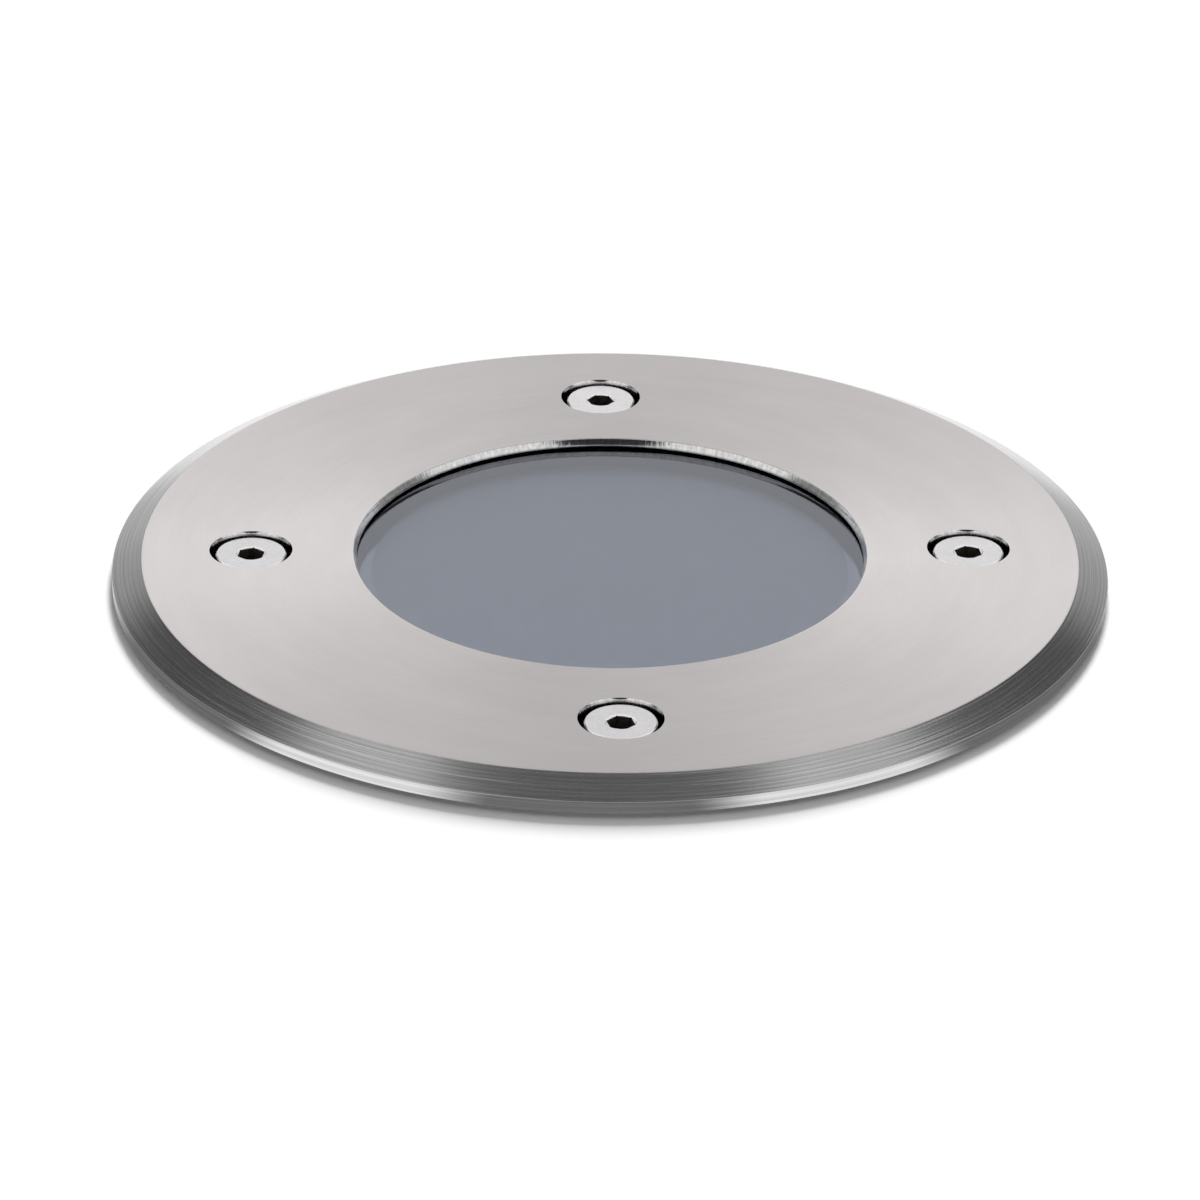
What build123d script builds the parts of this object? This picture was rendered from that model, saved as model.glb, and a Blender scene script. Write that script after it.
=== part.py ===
from build123d import *
from math import cos, hypot, radians, sin, sqrt
import os

os.makedirs("parts", exist_ok=True)

# In ground well light, millimetres. +Z is up, z = 0 is the finished ground that the
# face ring's lip lies on, and the origin is on the light's axis.

# Face ring, turned from stainless plate
ring_radius = 60.0
edge_height = 1.45
face_radius = 56.4
face_height = 3.25
aperture_radius = 30.6
lip_thickness = 0.95
edge_break = 0.2
spigot_radius = 51.0
ring_bottom = -3.7
glass_pocket_radius = 36.5
collar_relief_radius = 54.6
collar_relief_depth = 0.3

# Cover screws: M5 low head, hexagon socket
screw_circle = 43.3
screw_head_radius = 4.25
screw_head_height = 3.5
screw_shank_radius = 2.5
screw_length = 16.0
screw_sink = 0.55
socket_flats = 3.0
socket_depth = 2.0
counterbore_radius = 5.0
screw_clearance = 0.25
thread_gap = 0.05
socket_turns = {"right": 8.0, "back": 22.0, "left": 51.0, "front": 14.0}
screw_sides = ("right", "back", "left", "front")

# Window
glass_radius = 35.4
glass_thickness = 4.0
seal_top_leg = 0.3
seal_bottom_leg = 1.2
seal_cover = 5.1
gasket_thickness = 1.0
gasket_inner = glass_pocket_radius + 0.2
gasket_width = 4.3

# Lamp housing, cast aluminium: pot, flange and floor meet each other all round
casting_gap = 0.05
flange_thickness = 5.0
flange_web = 4.0
pot_radius = 34.5
mouth_radius = 31.5
chamber_radius = 30.0
ledge_height = -29.0
pot_bottom = -100.0
pot_floor = 4.0
boss_radius = 5.0
boss_bottom = -19.0
boss_thread_depth = 13.5
clip_groove_depth = 0.8
clip_groove_height = 1.1

# Cooling fins, cast with the pot
fin_top = -26.0
fin_bottom = -92.0
fin_count = 20
fin_radius = 45.0
fin_thickness = 2.0
fin_corner = 1.5

# Ground sleeve, moulded plastic
collar_radius = 54.0
collar_bottom = -13.0
sleeve_radius = 51.5
sleeve_wall = 2.5
sleeve_bottom = -130.0
sleeve_foot_height = 3.0
sleeve_foot_inner = 46.0
ring_rib_heights = (-45.0, -75.0, -104.0)
ring_rib_height = 2.0
upright_rib_count = 8
upright_rib_width = 2.5
sleeve_boss_radius = 3.6
sleeve_boss_length = 14.3
sleeve_screw_circle = 46.5
sleeve_screw_radius = 1.5
sleeve_screw_head_radius = 3.0
sleeve_screw_length = 12.0
sleeve_screw_slot = 0.7
cable_slot_width = 18.0
cable_slot_height = 24.0

# Lamp carrier
tilt_height = -20.0
cradle_radius = 27.6
cradle_bore = 25.1
cradle_top = -12.0
cradle_bottom = -24.0
turntable_inner = 28.4
turntable_outer = 31.1
turntable_thickness = 2.0
ear_inner = 28.6
ear_outer = 30.0
ear_width = 9.0
pin_radius = 1.5

# Lamp: 50 mm reflector lamp with two pins
lamp_face = -18.0
lamp_radius = 24.9
lamp_neck_radius = 8.5
lamp_neck = -49.0
lamp_base_top = -52.0
lamp_base_bottom = -63.0
lamp_pin_radius = 0.8
lamp_pin_pitch = 5.33
lamp_pin_length = 7.5

# Cable entries: a gland for an 8 mm cable, and a blanking plug
entry_offset = 14.0
entry_thread_radius = 8.0
cable_bore_radius = 4.1
washer_thickness = 1.5
locknut_thickness = 4.5
hex_flats = 20.0
gland_hex_height = 6.0
gland_cone = -116.5
gland_nose = -122.0
gland_seal_radius = 6.3
gland_seal_length = 10.3
cap_hex_height = 7.0
plug_hex_height = 5.0

# Terminal block
block_y = 20.0
block_length = 20.0
block_width = 11.0
block_step = 5.0
block_height = 13.0
pole_width = 7.0
pole_offset = 6.2
pole_screw_offset = 2.6
terminal_screw_radius = 1.6
wire_hole_radius = 1.6
terminal_fixing_radius = 1.15
terminal_fixing_thread = 2.0

# Lamp holder
holder_length = 20.0
holder_width = 12.0
holder_height = 16.5
contact_radius = 1.22
contact_length = 8.0

# Heights that follow from these
lip_bottom = face_height - lip_thickness
glass_top = lip_bottom - seal_top_leg
glass_bottom = glass_top - glass_thickness
seal_bottom = glass_bottom - seal_bottom_leg
head_top = face_height - screw_sink
head_seat = head_top - screw_head_height
flange_top = ring_bottom - gasket_thickness
flange_bottom = flange_top - flange_thickness
pot_floor_top = pot_bottom + pot_floor
ledge_top = ledge_height + turntable_thickness


def polar(radius, degrees):
    return radius * cos(radians(degrees)), radius * sin(radians(degrees))


def level(height, x=0.0, y=0.0):
    return Plane(origin=(x, y, height))


def upright(angle):
    # a plane through the axis, its X outwards at this angle and its Y upwards
    outwards = (*polar(1, angle), 0)
    return Plane(origin=(0, 0, 0), x_dir=outwards, z_dir=(outwards[1], -outwards[0], 0))


def facing(sign, distance):
    # a plane square to X at this distance on one side, its Y upwards
    return Plane(origin=(sign * distance, 0, 0), x_dir=(0, sign, 0), z_dir=(sign, 0, 0))


def keep(piece, name):
    piece.label = name
    export_step(piece, f"parts/{name}.step")


# ---------------------------------------------------------------- cover
with BuildPart() as face_ring:
    with BuildSketch(Plane.XZ):
        with BuildLine():
            Polyline(
                (aperture_radius, face_height - edge_break),
                (aperture_radius + edge_break, face_height),
                (face_radius - edge_break, face_height),
                (face_radius, face_height - edge_break / 2),
                (ring_radius, edge_height),
                (ring_radius, edge_break),
                (ring_radius - edge_break, 0),
                (collar_relief_radius, 0),
                (collar_relief_radius, collar_relief_depth),
                (spigot_radius, collar_relief_depth),
                (spigot_radius, ring_bottom),
                (glass_pocket_radius, ring_bottom),
                (glass_pocket_radius, lip_bottom),
                (aperture_radius + edge_break, lip_bottom),
                (aperture_radius, lip_bottom + edge_break),
                close=True,
            )
        make_face()
    revolve(axis=Axis.Z)
    with Locations((0, 0, face_height)):
        with PolarLocations(screw_circle, 4):
            CounterBoreHole(
                radius=screw_shank_radius + screw_clearance,
                counter_bore_radius=counterbore_radius,
                counter_bore_depth=face_height - head_seat,
            )
    face = face_ring.faces().filter_by(Plane.XY).sort_by(Axis.Z)[-1]
    counterbore_rims = face.edges().filter_by(lambda edge: edge.radius < screw_circle / 4)
    chamfer(counterbore_rims, length=edge_break)
keep(face_ring.part, "face_ring")

with BuildPart() as window_glass:
    with BuildSketch(level(glass_bottom)):
        Circle(glass_radius)
    extrude(amount=glass_thickness)
    chamfer(window_glass.edges(), length=0.3)
keep(window_glass.part, "window_glass")

# A U-section of silicone round the edge of the glass
seal_outer = glass_pocket_radius - 0.05
seal_web = glass_radius + 0.05
with BuildPart() as glass_seal:
    with BuildSketch(Plane.XZ):
        with BuildLine():
            Polyline(
                (seal_outer - seal_cover, lip_bottom),
                (seal_outer, lip_bottom),
                (seal_outer, seal_bottom),
                (seal_outer - seal_cover, seal_bottom),
                (seal_outer - seal_cover, glass_bottom),
                (seal_web, glass_bottom),
                (seal_web, glass_top),
                (seal_outer - seal_cover, glass_top),
                close=True,
            )
        make_face()
    revolve(axis=Axis.Z)
keep(glass_seal.part, "glass_seal")


def cover_screw(angle, socket_turn):
    x, y = polar(screw_circle, angle)
    with BuildPart() as screw:
        with BuildSketch(level(head_top, x, y)):
            Circle(screw_head_radius)
        extrude(amount=-screw_head_height)
        chamfer(screw.edges().group_by(Axis.Z)[-1], length=0.3)
        with BuildSketch(level(head_seat, x, y)):
            Circle(screw_shank_radius)
        extrude(amount=-screw_length)
        chamfer(screw.edges().group_by(Axis.Z)[0], length=0.6)
        with BuildSketch(level(head_top, x, y)):
            RegularPolygon(socket_flats / sqrt(3), 6, rotation=socket_turn)
        extrude(amount=-socket_depth, mode=Mode.SUBTRACT)
        with BuildSketch(level(head_top, x, y)):
            Circle(socket_flats / sqrt(3) + 0.15)
        extrude(amount=-0.3, taper=45, mode=Mode.SUBTRACT)
    return screw.part


for turn, side in enumerate(screw_sides):
    keep(cover_screw(90 * turn, socket_turns[side]), f"screw_{side}")

# ---------------------------------------------------------------- ground sleeve
sleeve_inner = sleeve_radius - sleeve_wall
collar_inner = spigot_radius + 0.3
foot_top = sleeve_bottom + sleeve_foot_height
with BuildPart() as ground_sleeve:
    with BuildSketch(Plane.XZ):
        with BuildLine():
            Polyline(
                (collar_inner, 0),
                (collar_radius, 0),
                (collar_radius, collar_bottom),
                (sleeve_radius, collar_bottom - sleeve_wall),
                (sleeve_radius, foot_top),
                (collar_radius, foot_top),
                (collar_radius, sleeve_bottom),
                (sleeve_foot_inner, sleeve_bottom),
                (sleeve_foot_inner, foot_top - 0.5),
                (sleeve_inner, foot_top - 0.5),
                (sleeve_inner, flange_bottom),
                (collar_inner, flange_bottom),
                close=True,
            )
        make_face()
        with Locations(*[(sleeve_radius + 0.5, height) for height in ring_rib_heights]):
            Rectangle(2, ring_rib_height)
    revolve(axis=Axis.Z)
    rib_top = collar_bottom - 1
    with BuildSketch(level(rib_top)):
        with PolarLocations(sleeve_radius + 1, upright_rib_count, start_angle=22.5):
            Rectangle(3, upright_rib_width)
    extrude(amount=foot_top - rib_top)
    with BuildSketch(level(flange_bottom)):
        with PolarLocations(sleeve_screw_circle, 4, start_angle=45):
            Circle(sleeve_boss_radius)
    extrude(amount=-sleeve_boss_length)
    with BuildSketch(level(flange_bottom)):
        with PolarLocations(sleeve_screw_circle, 4, start_angle=45):
            Circle(sleeve_screw_radius + thread_gap)
    extrude(amount=-sleeve_screw_length, mode=Mode.SUBTRACT)
    slot_centre = sleeve_bottom + cable_slot_height - cable_slot_width / 2
    with BuildSketch(Plane.YZ):
        with Locations((0, slot_centre)):
            Circle(cable_slot_width / 2)
            Rectangle(cable_slot_width, 2 * cable_slot_height, align=(Align.CENTER, Align.MAX))
    extrude(amount=collar_radius + 5, both=True, mode=Mode.SUBTRACT)
keep(ground_sleeve.part, "ground_sleeve")

# ---------------------------------------------------------------- housing
seat_outer = glass_pocket_radius - 0.3
clip_groove_bottom = ledge_top + 0.1
clip_groove_top = clip_groove_bottom + clip_groove_height
clip_groove_radius = mouth_radius + clip_groove_depth
with BuildPart() as housing_pot:
    with BuildSketch(Plane.XZ):
        with BuildLine():
            Polyline(
                (chamber_radius, pot_bottom),
                (chamber_radius, ledge_height),
                (mouth_radius, ledge_height),
                (mouth_radius, clip_groove_bottom),
                (clip_groove_radius, clip_groove_bottom),
                (clip_groove_radius, clip_groove_top),
                (mouth_radius, clip_groove_top),
                (mouth_radius, seal_bottom),
                (seat_outer, seal_bottom),
                (seat_outer, flange_top),
                (pot_radius, flange_top),
                (pot_radius, pot_bottom + 2),
                (pot_radius - 2, pot_bottom),
                close=True,
            )
        make_face()
    revolve(axis=Axis.Z)
keep(housing_pot.part, "housing_pot")

# The floor of the pot, with the two threaded cable entries
with BuildPart() as pot_base:
    with BuildSketch(level(pot_bottom)):
        Circle(chamber_radius - casting_gap)
        with Locations((entry_offset, 0), (-entry_offset, 0)):
            Circle(entry_thread_radius + thread_gap, mode=Mode.SUBTRACT)
    extrude(amount=pot_floor)
    with Locations((0, block_y, pot_floor_top)):
        Hole(terminal_fixing_radius + thread_gap, depth=terminal_fixing_thread + 0.5)
keep(pot_base.part, "pot_base")

# The flange, with threaded bosses for the cover screws, each webbed inwards to the pot
flange_bore = pot_radius + casting_gap
with BuildPart() as housing_flange:
    with BuildSketch(level(flange_top)):
        Circle(spigot_radius)
    extrude(amount=-flange_thickness)
    with BuildSketch(level(flange_bottom)):
        with PolarLocations(screw_circle, 4):
            Circle(boss_radius)
        with PolarLocations(pot_radius + flange_web, 4):
            Rectangle(2 * flange_web, flange_web)
    extrude(amount=boss_bottom - flange_bottom)
    with BuildSketch(level(flange_top)):
        Circle(flange_bore)
    extrude(amount=boss_bottom - flange_top, mode=Mode.SUBTRACT)
    with Locations((0, 0, flange_top)):
        with PolarLocations(screw_circle, 4):
            Hole(screw_shank_radius + thread_gap, depth=boss_thread_depth)
        with PolarLocations(sleeve_screw_circle, 4, start_angle=45):
            CounterSinkHole(
                radius=sleeve_screw_radius + 0.2,
                counter_sink_radius=sleeve_screw_head_radius + 0.4,
                depth=flange_thickness,
                counter_sink_angle=90,
            )
keep(housing_flange.part, "housing_flange")

# Cooling fins, cast along the pot below the bosses and clear of the sleeve's screws
fin_root = pot_radius + casting_gap
with BuildPart() as cooling_fin:
    with BuildSketch(Plane.XZ):
        with BuildLine():
            Polyline(
                (fin_root, fin_top),
                (fin_radius - fin_corner, fin_top),
                (fin_radius, fin_top - fin_corner),
                (fin_radius, fin_bottom + fin_corner),
                (fin_radius - fin_corner, fin_bottom),
                (fin_root, fin_bottom),
                close=True,
            )
        make_face()
    extrude(amount=fin_thickness / 2, both=True)

with BuildPart() as cooling_fins:
    with PolarLocations(0, fin_count, start_angle=180 / fin_count):
        add(cooling_fin.part)
keep(cooling_fins.part, "cooling_fins")

# The seal between the ring and the flange, with a lobe round each cover screw
with BuildPart() as flange_gasket:
    with BuildSketch(level(flange_top)):
        Circle(gasket_inner + gasket_width)
        with PolarLocations(screw_circle, 4):
            Circle(boss_radius)
        Circle(gasket_inner, mode=Mode.SUBTRACT)
        with PolarLocations(screw_circle, 4):
            Circle(screw_shank_radius + 0.4, mode=Mode.SUBTRACT)
    extrude(amount=gasket_thickness)
keep(flange_gasket.part, "flange_gasket")

# Countersunk screws that hold the housing down in the sleeve
with BuildPart() as sleeve_screw:
    with BuildSketch(Plane.XZ):
        with BuildLine():
            Polyline(
                (0, 0),
                (sleeve_screw_head_radius, -0.15),
                (sleeve_screw_radius, -0.15 - (sleeve_screw_head_radius - sleeve_screw_radius)),
                (sleeve_screw_radius, -sleeve_screw_length),
                (0, -sleeve_screw_length - 0.5),
                close=True,
            )
        make_face()
    revolve(axis=Axis.Z)
    with BuildSketch(level(0)):
        Rectangle(sleeve_screw_head_radius + 0.4, sleeve_screw_slot)
        Rectangle(sleeve_screw_slot, sleeve_screw_head_radius + 0.4)
    extrude(amount=-1.2, mode=Mode.SUBTRACT)

with BuildPart() as sleeve_screws:
    with Locations((0, 0, flange_top - 0.1)):
        with PolarLocations(sleeve_screw_circle, 4, start_angle=45):
            add(sleeve_screw.part)
keep(sleeve_screws.part, "sleeve_screws")

# ---------------------------------------------------------------- cable entries
hex_corner = hex_flats / sqrt(3)


def entry_washer(x):
    with BuildPart() as washer:
        with BuildSketch(level(pot_bottom - washer_thickness, x)):
            Circle(hex_flats / 2)
            Circle(entry_thread_radius + 0.1, mode=Mode.SUBTRACT)
        extrude(amount=washer_thickness)
    return washer.part


def entry_locknut(x):
    with BuildPart() as locknut:
        with BuildSketch(level(pot_floor_top, x)):
            RegularPolygon(hex_corner, 6)
            Circle(entry_thread_radius + 0.05, mode=Mode.SUBTRACT)
        extrude(amount=locknut_thickness)
    return locknut.part


keep(entry_washer(entry_offset), "gland_washer")
keep(entry_locknut(entry_offset), "gland_locknut")
keep(entry_washer(-entry_offset), "plug_washer")
keep(entry_locknut(-entry_offset), "plug_locknut")

gland_face = pot_bottom - washer_thickness
spigot_top = pot_floor_top + locknut_thickness + 1.5
with BuildPart() as gland_body:
    with BuildSketch(level(gland_face, entry_offset)):
        RegularPolygon(hex_corner, 6)
    extrude(amount=-gland_hex_height)
    with BuildSketch(level(spigot_top, entry_offset)):
        Circle(entry_thread_radius)
    extrude(amount=gland_cone - spigot_top)
    with Locations((entry_offset, 0, spigot_top)):
        Hole(cable_bore_radius + 0.9)
    with BuildSketch(level(gland_cone, entry_offset)):
        Circle(gland_seal_radius + 0.1)
    extrude(amount=gland_seal_length - 1.3, mode=Mode.SUBTRACT)
keep(gland_body.part, "gland_body")

with BuildPart() as gland_seal:
    with BuildSketch(level(gland_cone + gland_seal_length - 1.5, entry_offset)):
        Circle(gland_seal_radius)
    extrude(amount=-gland_seal_length)
    chamfer(gland_seal.edges().group_by(Axis.Z)[0], length=1.2)
    with Locations((entry_offset, 0, gland_cone)):
        Hole(cable_bore_radius)
keep(gland_seal.part, "gland_seal")

cap_top = gland_face - gland_hex_height - 1.0
with BuildPart() as gland_cap:
    with BuildSketch(level(cap_top, entry_offset)):
        RegularPolygon(hex_corner, 6)
    extrude(amount=-cap_hex_height)
    with BuildSketch(level(cap_top - cap_hex_height, entry_offset)):
        Circle(hex_flats / 2 - 0.6)
    extrude(amount=gland_nose - cap_top + cap_hex_height)
    fillet(gland_cap.edges().group_by(Axis.Z)[0], radius=2.5)
    with BuildSketch(level(cap_top, entry_offset)):
        Circle(entry_thread_radius + thread_gap)
    extrude(amount=gland_cone - 0.3 - cap_top, mode=Mode.SUBTRACT)
    with BuildSketch(level(gland_cone - 0.3, entry_offset)):
        Circle(gland_seal_radius + 0.1)
    extrude(amount=-1.6, mode=Mode.SUBTRACT)
    with Locations((entry_offset, 0, cap_top)):
        Hole(cable_bore_radius + 0.6)
keep(gland_cap.part, "gland_cap")

with BuildPart() as entry_plug:
    with BuildSketch(level(gland_face, -entry_offset)):
        RegularPolygon(hex_corner, 6)
    extrude(amount=-plug_hex_height)
    chamfer(entry_plug.edges().group_by(Axis.Z)[0], length=0.8)
    with BuildSketch(level(gland_face, -entry_offset)):
        Circle(entry_thread_radius)
    extrude(amount=spigot_top - gland_face)
    with BuildSketch(level(spigot_top, -entry_offset)):
        Circle(entry_thread_radius - 2)
    extrude(amount=-8, mode=Mode.SUBTRACT)
keep(entry_plug.part, "entry_plug")

# ---------------------------------------------------------------- terminal block
pole_places = [(-pole_offset, block_y), (pole_offset, block_y)]
pole_screws = [(x, y + step) for x, y in pole_places for step in (-pole_screw_offset, pole_screw_offset)]
step_top = pot_floor_top + block_step
block_top = pot_floor_top + block_height
with BuildPart() as terminal_block:
    with BuildSketch(level(pot_floor_top)):
        with Locations((0, block_y)):
            RectangleRounded(block_length, block_width, 1)
    extrude(amount=block_step)
    with BuildSketch(level(step_top)):
        with Locations(*pole_places):
            RectangleRounded(pole_width, block_width - 0.6, 0.8)
    extrude(amount=block_height - block_step)
    with BuildSketch(level(block_top)):
        with Locations(*pole_screws):
            Circle(terminal_screw_radius + 0.1)
    extrude(amount=-5, mode=Mode.SUBTRACT)
    with BuildSketch(Plane.XZ.offset(-block_y)):
        with Locations(*[(x, step_top + 0.6) for x, y in pole_places]):
            Circle(wire_hole_radius)
    extrude(amount=block_width, both=True, mode=Mode.SUBTRACT)
    with BuildSketch(level(pot_floor_top)):
        with Locations((0, block_y)):
            Circle(terminal_fixing_radius + 0.15)
    extrude(amount=block_step, mode=Mode.SUBTRACT)
keep(terminal_block.part, "terminal_block")

with BuildPart() as terminal_screws:
    with BuildSketch(level(block_top - 4.9)):
        with Locations(*pole_screws):
            Circle(terminal_screw_radius)
    extrude(amount=3)
    with BuildSketch(level(block_top - 1.9)):
        with Locations(*pole_screws):
            Rectangle(0.5, 2 * terminal_screw_radius + 0.2)
    extrude(amount=-0.7, mode=Mode.SUBTRACT)
keep(terminal_screws.part, "terminal_screws")

with BuildPart() as terminal_fixing:
    with BuildSketch(level(step_top)):
        with Locations((0, block_y)):
            Circle(2 * terminal_fixing_radius)
    extrude(amount=1.6)
    fillet(terminal_fixing.edges().group_by(Axis.Z)[-1], radius=0.7)
    with BuildSketch(level(step_top)):
        with Locations((0, block_y)):
            Circle(terminal_fixing_radius)
    extrude(amount=-block_step - terminal_fixing_thread)
    with BuildSketch(level(step_top + 1.6)):
        with Locations((0, block_y)):
            Rectangle(0.6, 5)
    extrude(amount=-0.7, mode=Mode.SUBTRACT)
keep(terminal_fixing.part, "terminal_fixing")

# ---------------------------------------------------------------- turntable
with BuildPart() as turntable:
    with BuildSketch(level(ledge_height)):
        Circle(turntable_outer)
        Circle(turntable_inner, mode=Mode.SUBTRACT)
    extrude(amount=turntable_thickness)
    with BuildSketch(facing(1, ear_inner), facing(-1, ear_inner)):
        with Locations((0, tilt_height)):
            Circle(ear_width / 2)
            Rectangle(
                ear_width, tilt_height - ledge_top + 0.5, align=(Align.CENTER, Align.MAX)
            )
            Circle(pin_radius + thread_gap, mode=Mode.SUBTRACT)
    extrude(amount=ear_outer - ear_inner)
keep(turntable.part, "turntable")


def open_ring(inner, outer, bottom, thickness, gap):
    with BuildPart() as clip:
        with BuildSketch(level(bottom)):
            Circle(outer)
            Circle(inner, mode=Mode.SUBTRACT)
            with Locations((0, -outer)):
                Rectangle(gap, outer, mode=Mode.SUBTRACT)
        extrude(amount=thickness)
    return clip.part


keep(open_ring(30.75, 32.1, ledge_top + 0.15, 1.0, 9.0), "turntable_clip")

# ---------------------------------------------------------------- lamp cradle
clip_top = cradle_top - 0.9
with BuildPart() as lamp_cradle:
    with BuildSketch(Plane.XZ):
        with BuildLine():
            Polyline(
                (cradle_radius, cradle_top),
                (cradle_radius, cradle_bottom),
                (cradle_bore - 2.1, cradle_bottom),
                (cradle_bore - 2.1, lamp_face - 3.3),
                (cradle_bore, lamp_face - 3.3),
                (cradle_bore, clip_top - 1.1),
                (cradle_bore + 0.9, clip_top - 1.1),
                (cradle_bore + 0.9, clip_top),
                (cradle_bore, clip_top),
                (cradle_bore, cradle_top),
                close=True,
            )
        make_face()
    revolve(axis=Axis.Z)
    boss_start = cradle_bore + 0.2
    with BuildSketch(facing(1, boss_start), facing(-1, boss_start)):
        with Locations((0, tilt_height)):
            Circle(3.8)
    extrude(amount=ear_inner - 0.3 - boss_start)
    with BuildSketch(Plane.YZ):
        with Locations((0, tilt_height)):
            Circle(pin_radius + 0.02)
    extrude(amount=ear_inner, both=True, mode=Mode.SUBTRACT)
keep(lamp_cradle.part, "lamp_cradle")

with BuildPart() as tilt_pin:
    with BuildSketch(Plane.XZ):
        with BuildLine():
            Polyline(
                (cradle_bore + 0.3, 0),
                (ear_outer + 0.85, 0),
                (ear_outer + 0.85, 2.2),
                (ear_outer + 0.45, 2.6),
                (ear_outer + 0.05, 2.6),
                (ear_outer + 0.05, pin_radius),
                (cradle_bore + 0.3, pin_radius),
                close=True,
            )
        make_face()
    revolve(axis=Axis.X)

with BuildPart() as tilt_pins:
    with Locations((0, 0, tilt_height)):
        with PolarLocations(0, 2):
            add(tilt_pin.part)
keep(tilt_pins.part, "tilt_pins")

# Honeycomb louvre, which keeps the lamp out of sight from the side
louvre_radius = lamp_radius - 0.1
louvre_bottom = lamp_face + 0.05
louvre_top = clip_top - 1.05
cell_flats = 4.6
cell_pitch = 5.3
rows = range(-5, 6)
cells = [
    (cell_pitch * (column + row / 2), cell_pitch * row * sqrt(3) / 2)
    for row in rows
    for column in range(-8, 9)
]
whole_cells = [(x, y) for x, y in cells if hypot(x, y) + cell_flats / sqrt(3) < louvre_radius - 0.9]
with BuildPart() as glare_louvre:
    with BuildSketch(level(louvre_bottom)):
        Circle(louvre_radius)
        with Locations(*whole_cells):
            RegularPolygon(cell_flats / sqrt(3), 6, rotation=30, mode=Mode.SUBTRACT)
    extrude(amount=louvre_top - louvre_bottom)
keep(glare_louvre.part, "glare_louvre")

keep(open_ring(cradle_bore - 1.2, cradle_bore + 0.7, clip_top - 1.0, 0.95, 8.0), "lamp_clip")

# ---------------------------------------------------------------- lamp
lens_radius = 23.6
lens_seat = lamp_face - 1.1
with BuildPart() as lamp_reflector:
    with BuildSketch(Plane.XZ):
        with BuildLine():
            ThreePointArc((22.6, lamp_face - 3.2), (18.6, -36.0), (lamp_neck_radius, lamp_neck))
            ThreePointArc((21.3, lamp_face - 2.2), (17.2, -35.2), (5.4, lamp_neck + 0.8))
            Polyline(
                (lamp_neck_radius, lamp_neck),
                (lamp_neck_radius, lamp_base_top),
                (5.4, lamp_base_top),
                (5.4, lamp_neck + 0.8),
            )
            Polyline(
                (21.3, lamp_face - 2.2),
                (21.3, lens_seat),
                (lens_radius + 0.1, lens_seat),
                (lens_radius + 0.1, lamp_face),
                (lamp_radius, lamp_face),
                (lamp_radius, lamp_face - 3.2),
                (22.6, lamp_face - 3.2),
            )
        make_face()
    revolve(axis=Axis.Z)
keep(lamp_reflector.part, "lamp_reflector")

with BuildPart() as lamp_lens:
    with BuildSketch(level(lens_seat)):
        Circle(lens_radius)
    extrude(amount=1.0)
keep(lamp_lens.part, "lamp_lens")

pin_places = [(-lamp_pin_pitch / 2, 0), (lamp_pin_pitch / 2, 0)]
with BuildPart() as lamp_base:
    with BuildSketch(level(lamp_base_bottom)):
        RectangleRounded(15, 11, 2)
    extrude(amount=lamp_base_top - lamp_base_bottom)
    with BuildSketch(level(lamp_base_top)):
        Circle(5.3)
    extrude(amount=3.2)
    with BuildSketch(level(lamp_base_bottom)):
        with Locations(*pin_places):
            Circle(lamp_pin_radius + 0.02)
    extrude(amount=5, mode=Mode.SUBTRACT)
keep(lamp_base.part, "lamp_base")

with BuildPart() as lamp_capsule:
    with BuildSketch(level(lamp_base_top + 3.25)):
        Circle(4.5)
    extrude(amount=20)
    fillet(lamp_capsule.edges().group_by(Axis.Z)[-1], radius=4.2)
keep(lamp_capsule.part, "lamp_capsule")

with BuildPart() as lamp_pins:
    with BuildSketch(level(lamp_base_bottom - lamp_pin_length)):
        with Locations(*pin_places):
            Circle(lamp_pin_radius)
    extrude(amount=lamp_pin_length + 4.9)
    chamfer(lamp_pins.edges().group_by(Axis.Z)[0], length=0.25)
keep(lamp_pins.part, "lamp_pins")

holder_top = lamp_base_bottom - 0.3
with BuildPart() as lamp_holder:
    with BuildSketch(level(holder_top)):
        RectangleRounded(holder_length, holder_width, 2.5)
    extrude(amount=-holder_height)
    chamfer(lamp_holder.faces().sort_by(Axis.Z)[-1].edges(), length=0.6)
    with BuildSketch(level(holder_top)):
        with Locations(*pin_places):
            Circle(contact_radius + 0.03)
    extrude(amount=-contact_length - 1, mode=Mode.SUBTRACT)
    with BuildSketch(level(holder_top - holder_height)):
        with Locations((-5, 0), (5, 0)):
            Circle(1.4)
    extrude(amount=5, mode=Mode.SUBTRACT)
keep(lamp_holder.part, "lamp_holder")

with BuildPart() as holder_contacts:
    with BuildSketch(level(holder_top - contact_length - 0.95)):
        with Locations(*pin_places):
            Circle(contact_radius)
            Circle(lamp_pin_radius + 0.03, mode=Mode.SUBTRACT)
    extrude(amount=contact_length)
keep(holder_contacts.part, "holder_contacts")
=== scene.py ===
from math import atan2, cos, hypot, pi, radians, sin, sqrt

import bmesh
import bpy
from mathutils import Matrix, Vector


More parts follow.
